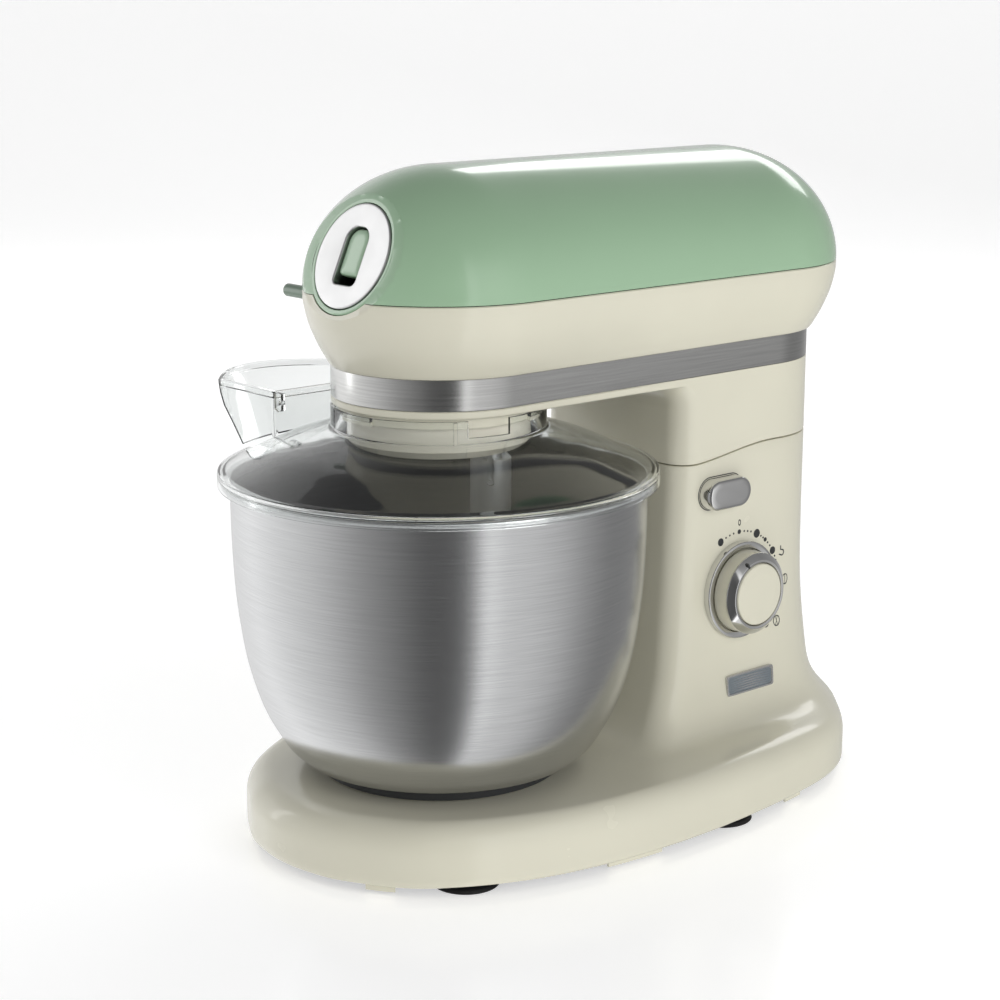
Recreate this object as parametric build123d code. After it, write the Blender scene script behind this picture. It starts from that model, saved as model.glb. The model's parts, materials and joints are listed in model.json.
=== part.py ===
"""Tilting-head stand mixer with a steel bowl, a clear splash lid and a planetary beater.

Frame: millimetres, +Z up. The origin is on the worktop under the bowl's axis, in the mixer's
plane of symmetry. The nose points to -Y, the column stands at +Y and the dial is on the +X side.
"""
from build123d import *
import os
from math import atan2, cos, degrees, pi, radians, sin, sqrt, tan

# ---------------------------------------------------------------- driving dimensions
WALL = 3.0                      # moulded shells
GAP = 0.4                       # between shells that part or turn

# head: a loaf with straight sides and round ends, seen from above
SHELL_R, SHELL_FRONT_Y, SHELL_REAR_Y = 72.7, 2.0, 206.0
SEAM_Z, ROOF_Z = 299.0, 363.5   # the green shell lies between them
BAND_R, BAND_FRONT_Y, BAND_REAR_Y = 58.4, 1.5, 204.0
BAND_BOTTOM_Z, BAND_TOP_Z = 243.5, 260.0
BAND_THICKNESS = 1.0
ARM_BOTTOM_Z = 239.2
HEAD_OPENING_R = 51.6           # the hole over the bowl that the planet housing fills

# round cover on the nose, tilted up from the vertical
NOSE_Y, NOSE_Z, NOSE_TILT = -55.7, 320.0, 24.0
NOSE_DISC_R, NOSE_BOSS_R, NOSE_CUP_R = 28.2, 31.5, 16.5
NOSE_WINDOW_W, NOSE_WINDOW_H = 18.0, 31.0
PEG_Y, PEG_Z, PEG_R, PEG_OUT, PEG_BOSS_R = -45.0, 294.5, 3.5, 72.0, 6.0

# column and base
COLUMN_REAR_Y = 204.0           # centre of the round back
COLUMN_SECTIONS = (             # height, half width, front face
    (30.0, 80.0, 84.0),
    (38.5, 72.0, 96.0),
    (50.0, 66.5, 105.0),
    (74.0, 62.5, 115.0),
    (108.0, 59.2, 121.0),
    (145.0, 58.4, 124.0),
    (193.0, 58.4, 126.0),
    (216.0, 58.4, 126.4),
)
COLUMN_CORNER_R = 14.0
ARM_CORNER_R = 15.0             # hollow corner between the column's front and the arm
BASE_BOTTOM_Z, BASE_TOP_Z = 5.5, 38.5
BASE_WALL = 4.5
BASE_HALF_W, BASE_FRONT_Y, BASE_REAR_Y = 118.0, -108.5, 286.5
BASE_SIDE = (
    (22, -105.9), (44, -98), (78, -72), (107, -13), (118, 70),
    (112, 163), (95, 225), (52, 272), (28, 282.3),
)
FEET = ((71, -42), (-71, -42), (94.5, 124), (-94.5, 124))
FOOT_R = 18.0
GLAND_Z = 22.0                  # where the supply lead leaves the base
SEAT_TOP_Z = 44.0               # top of the plate that the bowl locks on to

# the neck parts from the column along this line, seen from the side (y, z)
SPLIT_LINE = (
    (60, 193), (130, 193), (150, 195.2), (175, 198.5), (200, 199.6), (240, 198.8), (300, 198.8),
)
SPLIT_GAP = 0.7
HINGE_Y, HINGE_Z, HINGE_PIN_R = 244.0, 200.0, 3.5
TILT_RANGE = 35.0

# controls on the +X side of the column
KNOB_Y, KNOB_Z, KNOB_R = 173.4, 115.8, 23.8
KNOB_BACK_X, KNOB_FRONT_X = 61.8, 71.5
BEZEL_R = 28.4
BUTTON_Y, BUTTON_Z, BUTTON_W, BUTTON_H, BUTTON_OUT = 157.0, 175.5, 34.5, 17.6, 9.0
BUTTON_TRAVEL = 4.0
BADGE_Y, BADGE_Z, BADGE_W, BADGE_H = 178.5, 61.0, 39.0, 12.3

# bowl, lid and chute
BOWL_WALL = 1.0
BOWL_RIM_Z, BOWL_CREASE_Z, BOWL_CREASE_R = 200.0, 47.0, 78.0
BOWL_PROFILE = ((89, 61), (100, 84), (107.5, 118), (110, 141), (111.5, 195))
FOOT_RING_R, FOOT_RING_BOTTOM_Z = 67.0, 38.9
LID_R, LID_BOTTOM_Z, LID_EDGE_Z, LID_WALL = 118.0, 196.5, 206.0, 1.8
COLLAR_R, COLLAR_TOP_Z = 57.5, 238.3
CHUTE_INNER_X, CHUTE_HALF_Y, CHUTE_CORNER_X, CHUTE_OUT_X = -79.6, 50.5, -133.5, -168.0
CHUTE_TOP_Z, CHUTE_WALL = 238.2, 2.2

# gear train
MODULE = 1.25
RING_TEETH, PLANET_TEETH = 66, 22
GEAR_TEETH, PINION_TEETH = 66, 12
PLANET_OFFSET = MODULE * (RING_TEETH - PLANET_TEETH) / 2
PLANET_ANGLE = 9 * 360 / RING_TEETH     # where the tool shaft stands at rest, in mesh
COUNTER_Y = MODULE * (GEAR_TEETH + PINION_TEETH) / 2
MOTOR_Y, MOTOR_R = 172.0, 38.0
MAIN_SHAFT_R, COUNTER_SHAFT_R, MOTOR_SHAFT_R, TOOL_SHAFT_R = 7.0, 4.0, 4.0, 6.0
MOTOR_PULLEY_R, BIG_PULLEY_R, BELT_THICKNESS = 8.5, 38.0, 2.0
RUNNING = 0.05                  # radial clearance of a shaft in its bearing

PARTS = {}


# ---------------------------------------------------------------- helpers
def tube(outer, inner, bottom, top, x=0.0, y=0.0):
    """A vertical ring between two heights."""
    ring = Circle(outer) - Circle(inner)
    return Pos(x, y, bottom) * extrude(ring, top - bottom)


def rod(radius, bottom, top, x=0.0, y=0.0):
    """A vertical rod between two heights."""
    return Pos(x, y, bottom) * extrude(Circle(radius), top - bottom)


def rod_x(radius, start, end, y, z):
    """A rod along X between two places."""
    return Pos(start, y, z) * Rot(0, 90, 0) * extrude(Circle(radius), end - start)


def box(low, high):
    """A box between two corners."""
    size = [b - a for a, b in zip(low, high)]
    middle = [(a + b) / 2 for a, b in zip(low, high)]
    return Pos(*middle) * Box(*size)


def stadium(radius, front_y, rear_y):
    """A face with straight sides and round ends."""
    middle = Pos(0, (front_y + rear_y) / 2) * Rectangle(2 * radius, rear_y - front_y)
    return Pos(0, front_y) * Circle(radius) + middle + Pos(0, rear_y) * Circle(radius)


def slab(face, bottom, top):
    """A plan face made solid between two heights."""
    return Pos(0, 0, bottom) * extrude(face, top - bottom)


def loaf(half_face, front_y, rear_y):
    """A half section in XZ, turned round both ends and run straight between them."""
    rear_end = revolve(half_face, Axis.Z, 180)
    whole = half_face + mirror(half_face, Plane.YZ)
    middle = Pos(0, rear_y, 0) * extrude(whole, rear_y - front_y)
    return Pos(0, front_y, 0) * Rot(0, 0, 180) * rear_end + middle + Pos(0, rear_y, 0) * rear_end


def turned(points):
    """A solid turned about Z from a closed outline of (radius, height) points."""
    outline = Plane.XZ * make_face(Polyline(*points, close=True))
    return revolve(outline, Axis.Z)


def sector(inner, outer, bottom, top, middle_angle, width_angle):
    """Part of a ring, centred on an angle."""
    reach = 2 * outer
    half = width_angle / 2
    corner = (reach * cos(radians(half)), reach * sin(radians(half)))
    wedge = make_face(Polyline((0, 0), corner, (corner[0], -corner[1]), close=True))
    return Rot(0, 0, middle_angle) * (tube(outer, inner, bottom, top) & slab(wedge, bottom, top))


def gear_face(teeth, tooth_offset=0.0, inward=False):
    """A spur gear's outline with straight-flanked teeth; inward gives the hole of a ring gear."""
    pitch_r = MODULE * teeth / 2
    low, high = (-1.0, 1.2) if inward else (-1.2, 0.95)
    base_half, tip_half = (0.27, 0.12) if not inward else (0.36, 0.18)
    step = 2 * pi / teeth
    points = []
    for index in range(teeth):
        middle = index * step + radians(tooth_offset)
        for radius, shift in (
            (pitch_r + low * MODULE, -base_half),
            (pitch_r + high * MODULE, -tip_half),
            (pitch_r + high * MODULE, tip_half),
            (pitch_r + low * MODULE, base_half),
        ):
            angle = middle + shift * step
            points.append((radius * cos(angle), radius * sin(angle)))
    return make_face(Polyline(*points, close=True))


def screw(x, y, bottom, length, head_r=3.6, shank_r=1.9):
    """A pan-head screw that goes in from below."""
    head = rod(head_r, bottom, bottom + 2.4, x, y)
    slot = box((x - 0.5, y - 2.2, bottom - 1), (x + 0.5, y + 2.2, bottom + 1))
    return head - slot + rod(shank_r, bottom + 2.4, bottom + length, x, y)


def bearing(bore, outer, bottom, top, x=0.0, y=0.0):
    """A ball bearing as one ring with the groove between its races."""
    ring = tube(outer, bore, bottom, top, x, y)
    middle = (bore + outer) / 2
    groove = tube(middle + 0.8, middle - 0.8, top - 0.8, top + 1, x, y)
    return ring - groove - Pos(0, 0, bottom - top + 0.8 - 1) * groove


def group(solids):
    """Separate pieces kept in one node."""
    return Compound(children=list(solids))


# ---------------------------------------------------------------- head shells
def upper_profile(inset):
    """Half section of the green shell: a quarter of an ellipse over the seam."""
    width, height = SHELL_R - inset, ROOF_Z - SEAM_Z - inset
    arc = EllipticalCenterArc((0, SEAM_Z), width, height, start_angle=0, arc_size=90)
    sides = Polyline((0, SEAM_Z + height), (0, SEAM_Z), (width, SEAM_Z))
    return Plane.XZ * make_face([arc, sides])


def lower_profile(inset, bottom_z):
    """Half section of the cream tub under the seam."""
    top, foot = (SHELL_R - inset, SEAM_Z), (BAND_R + 0.6 - inset, bottom_z)
    side = ThreePointArc(top, (69.2 - inset, 281.5), foot)
    rest = Polyline(foot, (0, bottom_z), (0, SEAM_Z), top)
    return Plane.XZ * make_face([side, rest])


NOSE_PLANE = Plane(
    origin=(0, NOSE_Y, NOSE_Z),
    x_dir=(1, 0, 0),
    z_dir=(0, -cos(radians(NOSE_TILT)), sin(radians(NOSE_TILT))),
)


def nose_cylinder(radius, back, front):
    """A cylinder square to the nose cover, measured out of its face."""
    return NOSE_PLANE * Pos(0, 0, back) * extrude(Circle(radius), front - back)


NOSE_TRIM = nose_cylinder(60, 0, 60)
SHELL_POSTS = ((45, 66), (-45, 66), (48, 226), (-48, 226), (56, 128), (-56, 128))


def head_upper_shell():
    """The green roof of the head, with its screw posts, the seat of the nose cover and a peg boss."""
    outer = loaf(upper_profile(0), SHELL_FRONT_Y, SHELL_REAR_Y)
    inner = loaf(upper_profile(WALL), SHELL_FRONT_Y, SHELL_REAR_Y)
    posts = [rod(4.5, SEAM_Z, ROOF_Z, x, y) for x, y in SHELL_POSTS]
    shell = outer - inner + [post & inner for post in posts] - NOSE_TRIM
    boss = nose_cylinder(NOSE_BOSS_R, -13, 0)
    boss = fillet(boss.edges().filter_by(GeomType.CIRCLE).sort_by(SortBy.RADIUS)[-1:], 0.4)
    peg_boss = rod_x(PEG_BOSS_R, -64, -40, PEG_Y, PEG_Z)
    peg_boss -= slab(stadium(SHELL_R - WALL, SHELL_FRONT_Y, 100), 280, 310)
    peg_boss &= slab(stadium(SHELL_R - 0.2, SHELL_FRONT_Y, 100), 280, 310)
    holes = [rod(1.95, SEAM_Z - 1, SEAM_Z + 14, x, y) for x, y in SHELL_POSTS]
    holes += [nose_cylinder(NOSE_DISC_R + 0.5, -8, 1), nose_cylinder(NOSE_CUP_R + 0.5, -14, 0)]
    return shell + boss + peg_boss - rod_x(PEG_R + 0.35, -80, -30, PEG_Y, PEG_Z) - holes


def head_lower_shell():
    """The cream tub under the seam, open above the planet housing."""
    outer = loaf(lower_profile(0, BAND_TOP_Z), SHELL_FRONT_Y, SHELL_REAR_Y)
    inner = loaf(lower_profile(WALL, BAND_TOP_Z + WALL), SHELL_FRONT_Y, SHELL_REAR_Y)
    inner &= slab(stadium(SHELL_R + 1, SHELL_FRONT_Y, SHELL_REAR_Y), BAND_TOP_Z + WALL, SEAM_Z + 1)
    shell = outer - inner
    posts = [rod(5.0, BAND_TOP_Z + 1, SEAM_Z - 0.2, x, y) for x, y in SHELL_POSTS]
    shell += [post & inner for post in posts]
    shell -= [rod(2.2, BAND_TOP_Z - 1, SEAM_Z + 1, x, y) for x, y in SHELL_POSTS]
    shell -= [rod(4.0, BAND_TOP_Z - 1, 284, x, y) for x, y in SHELL_POSTS]
    shell -= NOSE_TRIM + nose_cylinder(NOSE_BOSS_R + GAP, -16, 10)
    shell -= rod_x(PEG_BOSS_R + GAP, -80, -30, PEG_Y, PEG_Z)
    shell -= rod(HEAD_OPENING_R, BAND_TOP_Z - 1, BAND_TOP_Z + WALL + 1)
    cable_way = slab(stadium(20, 190, 215), BAND_TOP_Z - 1, BAND_TOP_Z + WALL + 1)
    return Pos(0, 0, -0.15) * (shell - cable_way)


def steel_band():
    """The bright band between the tub and the arm."""
    outer = stadium(BAND_R, BAND_FRONT_Y, BAND_REAR_Y)
    inner = stadium(BAND_R - BAND_THICKNESS, BAND_FRONT_Y, BAND_REAR_Y)
    return slab(outer - inner, BAND_BOTTOM_Z, BAND_TOP_Z - 0.2)


def shell_screws():
    """The screws that hold the two head shells together."""
    return group(screw(x, y, 281, 26) for x, y in SHELL_POSTS)


# ---------------------------------------------------------------- nose and its outlet
def nose_cover():
    """The round cover of the front outlet, with the window that its latch slides in."""
    disc = nose_cylinder(NOSE_DISC_R, -2.5, 0.6)
    disc = fillet(disc.edges().filter_by(GeomType.CIRCLE).sort_by(Axis.Y)[:1], 0.5)
    cup = nose_cylinder(NOSE_CUP_R, -11, -2.5)
    window = extrude(RectangleRounded(NOSE_WINDOW_W, NOSE_WINDOW_H, 7.5), 12)
    return disc + cup - NOSE_PLANE * Pos(0, 0, -9) * window


def cover_latch():
    """The tab that fills all but the lower end of the cover's window."""
    tab = RectangleRounded(NOSE_WINDOW_W - 1.0, 25.0, 7.0)
    return NOSE_PLANE * Pos(0, 2.4, -6.5) * extrude(tab, 5.6)


def hub_lock_pin():
    """The peg at the side of the nose that locks a tool in the front outlet."""
    pin = rod_x(PEG_R, -PEG_OUT, -40, PEG_Y, PEG_Z)
    pin = fillet(pin.edges().sort_by(Axis.X)[:1], 0.6)
    return pin + rod_x(4.8, -43.4, -41.4, PEG_Y, PEG_Z)


# ---------------------------------------------------------------- column, neck and base
def column_section(half_width, front_y, inset):
    """Plan of the column: a flat front with round corners and a round back."""
    half, front = half_width - inset, front_y + inset
    block = Pos(0, (front + COLUMN_REAR_Y) / 2) * Rectangle(2 * half, COLUMN_REAR_Y - front)
    face = block + Pos(0, COLUMN_REAR_Y) * Circle(half)
    corners = face.vertices().sort_by(Axis.Y)[:2]
    return fillet(corners, COLUMN_CORNER_R - inset)


def column(inset, lowest=0):
    """The column and neck as one lofted solid."""
    sections = COLUMN_SECTIONS[lowest:]
    return loft([Pos(0, 0, z) * column_section(half, front, inset) for z, half, front in sections])


def arm_corner(inset):
    """The top of the neck, where its front face curves forward under the arm."""
    base_z, half, front = COLUMN_SECTIONS[-1]
    faces = [Pos(0, 0, base_z) * column_section(half, front, inset)]
    for step in range(0, 91, 15):
        rise = ARM_CORNER_R * sin(radians(step))
        reach = ARM_CORNER_R * (1 - cos(radians(step)))
        height = ARM_BOTTOM_Z - ARM_CORNER_R + rise
        faces.append(Pos(0, 0, height) * column_section(half, front - reach, inset))
    return loft(faces)


def side_prism(lift):
    """Everything above the parting line, as seen from the side."""
    line = Spline(*[(y, z + lift) for y, z in SPLIT_LINE], tangents=((1, 0), (1, 0)))
    (front, front_z), (rear, rear_z) = SPLIT_LINE[0], SPLIT_LINE[-1]
    rest = Polyline((rear, rear_z + lift), (rear, 400), (front, 400), (front, front_z + lift))
    face = Plane.YZ * make_face([line, rest])
    return Pos(-150, 0, 0) * extrude(face, 300)


def base_points(inset):
    """One side of the base's plan, from the front to the back, drawn in towards its middle."""
    middle_y, half_length = (BASE_FRONT_Y + BASE_REAR_Y) / 2, (BASE_REAR_Y - BASE_FRONT_Y) / 2
    wide, long = 1 - inset / BASE_HALF_W, 1 - inset / half_length
    side = [(0, BASE_FRONT_Y), *BASE_SIDE, (0, BASE_REAR_Y)]
    return [(x * wide, middle_y + (y - middle_y) * long) for x, y in side]


def base_outline(inset=0.0):
    """Plan of the base: an egg, blunt at the column's end."""
    right = Spline(*base_points(inset), tangents=((1, 0), (-1, 0)))
    return make_face([right, mirror(right, Plane.YZ)])


def base_block():
    """The base's outside, rounded over its top and under its edge."""
    right = base_points(0)
    left = [(-x, y) for x, y in reversed(right[1:-1])]
    block = slab(make_face(Spline(*right, *left, periodic=True)), BASE_BOTTOM_Z, BASE_TOP_Z)
    block = fillet(block.edges().group_by(Axis.Z)[-1], 15.0)
    return fillet(block.edges().group_by(Axis.Z)[0], 3.0)


def base_hollow():
    """The space in the base, open below."""
    shoulder_z = 22.0
    lower = slab(base_outline(BASE_WALL), BASE_BOTTOM_Z - 2, shoulder_z)
    roof = Pos(0, 0, BASE_TOP_Z - WALL) * base_outline(13)
    return lower + loft([Pos(0, 0, shoulder_z) * base_outline(BASE_WALL), roof])


COVER_SCREWS = ((0, -88), (86, 200), (-86, 200), (36, 273), (-36, 273), (95, 40), (-95, 40))
SEAT_SCREW_ANGLES = (60, 180, 300)
SKIRT_TABS = ((42, -110, 60, -60), (90, 22, 120, 61), (90, 163, 120, 181))
DECK_SLOT = ((-9, 136, 180), (9, 166, 215))         # the striker passes through it
HINGE_WELL = ((-32, 226, 190), (32, 258, 215))      # the hinge's ears stand in it
SEAT_SCREW_R = 46.0                                 # circle of the screws in the bowl's seat
SEAT_R = 55.0


def stand_shell():
    """The base and the column in one moulding, with its screw posts and the openings in it."""
    shaft_space = column(WALL) - side_prism(-WALL)
    base_space = base_hollow()
    shell = base_block() - base_space - shaft_space
    shell += column(0) - side_prism(0) - shaft_space - base_space
    posts = [(x, y, 4.6) for x, y in COVER_SCREWS] + [(x, y, 7.0) for x, y in FEET]
    skirt = slab(base_outline(BASE_WALL - 1.2), BASE_BOTTOM_Z - 3, BASE_BOTTOM_Z + 3)
    inside = slab(base_outline(BASE_WALL + 0.6), 0, 12)
    tabs = [(skirt & box((x0, y0, 0), (x1, y1, 10))) - inside for x0, y0, x1, y1 in SKIRT_TABS]
    tabs += [mirror(tab, Plane.YZ) for tab in tabs]
    shell += [rod(r, 9.0, BASE_TOP_Z - WALL + 0.5, x, y) for x, y, r in posts] + tabs
    button_way = Rot(0, 0, 90) * SlotOverall(BUTTON_W + 0.8, BUTTON_H + 0.8)
    ways = [rod(1.9, 0, 24, x, y) for x, y in COVER_SCREWS + FEET]
    ways += [rod_x(8.0, 50, 70, KNOB_Y, KNOB_Z), box(*DECK_SLOT), box(*HINGE_WELL)]
    ways += [Pos(40, BUTTON_Y, BUTTON_Z) * Rot(0, 90, 0) * extrude(button_way, 30)]
    ways += [Pos(0, 0, BASE_TOP_Z - 0.8) * extrude(Circle(SEAT_R + 0.2), 5)]
    ways += [Pos(0, 262, GLAND_Z) * Rot(-90, 0, 0) * extrude(Circle(7.0), 40)]
    ways += [Rot(0, 0, angle) * rod(2.0, 30, 50, SEAT_SCREW_R, 0) for angle in SEAT_SCREW_ANGLES]
    return shell - ways


def bottom_cover():
    """The plate that closes the base from below, with air slots under the column."""
    plate = slab(base_outline(BASE_WALL + 2), BASE_BOTTOM_Z, BASE_BOTTOM_Z + 2.5)
    plate -= [rod(2.2, 0, 20, x, y) for x, y in COVER_SCREWS]
    plate -= [rod(5.2, 0, 20, x, y) for x, y in FEET]
    vents = [box((-30, y, 0), (30, y + 3, 20)) for y in range(178, 232, 9)]
    return plate - vents


def suction_feet():
    """Four rubber cups, one under each screw post of the base."""
    profile = (
        (2.2, 1.6), (14, 1.0), (14.6, 0), (FOOT_R - 0.4, 0), (FOOT_R, 0.5), (FOOT_R - 1.2, 2.0),
        (13, 4.0), (11.5, 5.4), (5, 5.4), (5, 8.9), (2.2, 8.9),
    )
    return group(Pos(x, y, 0) * turned(profile) for x, y in FEET)


def base_screws():
    """The screws of the feet, the bottom cover and the bowl's seat."""
    feet = [screw(x, y, 2.0, 18, head_r=2.15, shank_r=1.85) for x, y in FEET]
    cover = [screw(x, y, 3.0, 16) for x, y in COVER_SCREWS]
    seat = rod(3.8, SEAT_TOP_Z, SEAT_TOP_Z + 1.6, SEAT_SCREW_R, 0)
    seat += rod(2.0, 36, SEAT_TOP_Z + 0.5, SEAT_SCREW_R, 0)
    return group(feet + cover + [Rot(0, 0, angle) * seat for angle in SEAT_SCREW_ANGLES])


def tilt_relief():
    """What the neck gives up behind its hinge, so that it swings down clear of the column."""
    start_y, far_y = HINGE_Y + 0.4, HINGE_Y + 56
    rise = (far_y - HINGE_Y) * tan(radians(TILT_RANGE + 4))
    outline = Polyline(
        (start_y, HINGE_Z - 4), (far_y, HINGE_Z - 4), (far_y, HINGE_Z + rise), (start_y, HINGE_Z + 0.2),
        close=True,
    )
    return Pos(-150, 0, 0) * extrude(Plane.YZ * make_face(outline), 300)


LID_LOCK_ANGLES = (30, 150, 270)


def arm_and_neck():
    """The flat arm under the head and the neck that turns on the hinge, in one moulding."""
    plate = slab(stadium(BAND_R, BAND_FRONT_Y, BAND_REAR_Y), ARM_BOTTOM_Z, BAND_BOTTOM_Z - 0.1)
    plate = fillet(plate.edges().group_by(Axis.Z)[0], 1.2)
    edge = stadium(BAND_R - 1.2, BAND_FRONT_Y, BAND_REAR_Y)
    edge -= stadium(BAND_R - 3.6, BAND_FRONT_Y, BAND_REAR_Y)
    upstand = slab(edge, BAND_BOTTOM_Z - 0.5, BAND_TOP_Z - 0.4)
    neck = column(0, 5) & side_prism(SPLIT_GAP)
    neck -= column(WALL, 5) & side_prism(SPLIT_GAP + WALL)
    shell = plate + upstand + neck + (arm_corner(0) - arm_corner(WALL))
    shell -= slab(stadium(42, 176, 204), ARM_BOTTOM_Z - 1, BAND_BOTTOM_Z + 1)
    shell -= tilt_relief()
    shell -= box(*HINGE_WELL) + box(*DECK_SLOT)
    shell -= rod(HEAD_OPENING_R, ARM_BOTTOM_Z - 1, BAND_BOTTOM_Z + 1)
    lock_ring = tube(HEAD_OPENING_R + 2, HEAD_OPENING_R, 233.5, ARM_BOTTOM_Z + 2)
    lugs = [sector(53.0, 55.3, 233.5, 235.2, angle, 24) for angle in LID_LOCK_ANGLES]
    return shell + lock_ring + lugs


# ---------------------------------------------------------------- hinge and latch
EAR_R = 7.0


def hinge_ear(x0, x1, z0, z1):
    """A bracket's ear: round about the pin, with a straight shank."""
    shank = box((x0, HINGE_Y - EAR_R, z0), (x1, HINGE_Y + EAR_R, z1))
    return rod_x(EAR_R, x0, x1, HINGE_Y, HINGE_Z) + shank


def stand_hinge_bracket():
    """The steel bracket in the column that carries the hinge pin."""
    plate = box((-28, 222, 176), (28, 250, 179.5))
    ears = hinge_ear(22, 26, 178, HINGE_Z) + hinge_ear(-26, -22, 178, HINGE_Z)
    foot = box((-28, 215, 172), (28, 222, 196.0))
    return plate + ears + foot - rod_x(HINGE_PIN_R, -40, 40, HINGE_Y, HINGE_Z)


def neck_hinge_bracket():
    """The steel bracket under the arm that turns on the hinge pin."""
    ears = hinge_ear(16, 21.5, HINGE_Z, 226) + hinge_ear(-21.5, -16, HINGE_Z, 226)
    plate = box((-26, 214, 226), (26, 249, ARM_BOTTOM_Z - 0.1))
    return ears + plate - rod_x(HINGE_PIN_R + RUNNING, -40, 40, HINGE_Y, HINGE_Z)


def hinge_pin():
    """The pin that the head tilts about."""
    pin = rod_x(HINGE_PIN_R, -28.5, 28.5, HINGE_Y, HINGE_Z)
    return chamfer(pin.edges().filter_by(GeomType.CIRCLE), 0.6)


def latch_striker():
    """The plate that hangs from the neck through the deck of the column."""
    plate = box((-6, 146, 168), (6, 150, ARM_BOTTOM_Z - 0.1))
    flange = box((-20, 146, 235.0), (20, 172, ARM_BOTTOM_Z - 0.1))
    return plate + flange - rod(2, 230, 245, 14, 164) - rod(2, 230, 245, -14, 164)


def release_button():
    """The button in the column's side that frees the head."""
    face = Rot(0, 0, 90) * SlotOverall(BUTTON_W, BUTTON_H)
    body = Pos(50, BUTTON_Y, BUTTON_Z) * Rot(0, 90, 0) * extrude(face, BAND_R + BUTTON_OUT - 50)
    return fillet(body.edges().group_by(Axis.X)[-1], 2.0)


def latch_slider():
    """The bar behind the button, whose nose holds the striker."""
    bar = box((-12, BUTTON_Y - 5, 171), (50, BUTTON_Y + 5, 177))
    nose = box((-12, 150.6, 171), (-2, BUTTON_Y - 5, 177))
    return bar + nose


def latch_guide():
    """The block in the column that the bar slides in."""
    guide = box((14, BUTTON_Y - 8, 166), (24, BUTTON_Y + 8, 182))
    guide += box((14, BUTTON_Y + 8, 166), (24, 190, 169))
    return guide - box((10, BUTTON_Y - 5.4, 170.6), (30, BUTTON_Y + 5.4, 177.4))


def coil(radius, wire, pitch, turns):
    """A coil spring's wire along +Z."""
    path = Helix(pitch, pitch * turns, radius)
    section = Plane(origin=path @ 0, z_dir=path % 0) * Circle(wire)
    return sweep(section, path)


def button_spring():
    """The return spring of the button, at its length with the button pressed."""
    spring = coil(7.6, 0.6, 3.2, 6)
    return Pos(25.2, BUTTON_Y, 174.0) * Rot(0, 90, 0) * spring


# ---------------------------------------------------------------- dial, badge and electrics
SPINDLE_R, SPINDLE_END_X = 4.0, KNOB_FRONT_X - 3.0
FACE_RECESS_R = 18.2


def dial_bezel():
    """The bright ring that the knob turns in, seated on the column's side."""
    ring = Circle(BEZEL_R) - Circle(KNOB_R + 0.5)
    body = Pos(57, KNOB_Y, KNOB_Z) * Rot(0, 90, 0) * extrude(ring, 6.0)
    body = fillet(body.edges().group_by(Axis.X)[-1], 1.0)
    return body - column(0)


def knob_body():
    """The body of the speed knob, with a recess for its face."""
    body = rod_x(KNOB_R, KNOB_BACK_X, KNOB_FRONT_X, KNOB_Y, KNOB_Z)
    body -= rod_x(SPINDLE_R, 60, SPINDLE_END_X, KNOB_Y, KNOB_Z)
    return body - rod_x(FACE_RECESS_R, KNOB_FRONT_X - 2.0, 90, KNOB_Y, KNOB_Z)


def knob_trim():
    """The bright bevel round the front edge of the knob."""
    seat = (Align.CENTER, Align.CENTER, Align.MIN)
    cone = Pos(KNOB_FRONT_X, KNOB_Y, KNOB_Z) * Rot(0, 90, 0) * Cone(KNOB_R, 19.5, 4.0, align=seat)
    return cone - rod_x(FACE_RECESS_R, KNOB_FRONT_X - 1, KNOB_FRONT_X + 9, KNOB_Y, KNOB_Z)


def knob_face():
    """The domed disc in the front of the knob."""
    start = KNOB_FRONT_X - 2.0
    disc = rod_x(FACE_RECESS_R - 0.3, start, start + 6.4, KNOB_Y, KNOB_Z)
    return fillet(disc.edges().group_by(Axis.X)[-1], 1.2)


def switch_spindle():
    """The switch's spindle, with a flat that drives the knob."""
    flat = box((60, 150, KNOB_Z + 2.6), (80, 190, KNOB_Z + 9))
    return rod_x(SPINDLE_R, 44, SPINDLE_END_X, KNOB_Y, KNOB_Z) - flat


def speed_switch():
    """The rotary switch behind the dial."""
    strap = box((30, KNOB_Y - 30, KNOB_Z - 6), (34, KNOB_Y + 24, KNOB_Z + 6))
    case = rod_x(19.0, 26, 50, KNOB_Y, KNOB_Z) + strap
    return case - rod_x(SPINDLE_R + RUNNING, 43.9, 60, KNOB_Y, KNOB_Z)


BOARD_X = -38.4                 # the board's component side
BOARD_PARTS = ((156, 70, 12), (180, 70, 16), (204, 74, 9), (160, 110, 14), (190, 118, 7))


def control_board():
    """The speed control's circuit board, with its taller components (y, z, height)."""
    board = box((BOARD_X - 1.6, 150, 60), (BOARD_X, 230, 150))
    return board + [box((BOARD_X, y, z), (BOARD_X + h, y + 14, z + 10)) for y, z, h in BOARD_PARTS]


def badge():
    """A plain plate on the column under the dial."""
    plate = RectangleRounded(BADGE_W, BADGE_H, 1.6)
    upright = Pos(60, BADGE_Y, BADGE_Z) * Rot(0, 0, 90) * Rot(90, 0, 0)
    return upright * extrude(plate, 8) - column(0) - box((66.2, 100, 30), (90, 240, 90))


def cable_gland():
    """The bush that the supply lead leaves the base through."""
    profile = (
        (4.2, 0), (10.5, 0), (10.5, 2.5), (6.8, 2.5), (6.8, 12), (9.0, 12.5), (9.0, 14), (4.2, 14),
    )
    return Pos(0, 289, GLAND_Z) * Rot(90, 0, 0) * turned(profile)


# ---------------------------------------------------------------- drive
BRIDGE_POSTS = ((48, 24), (-48, 24), (0, -47.5), (40, 92), (-40, 92))
MOTOR_FEET_ANGLES = (46, 134, 206, 334)


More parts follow.
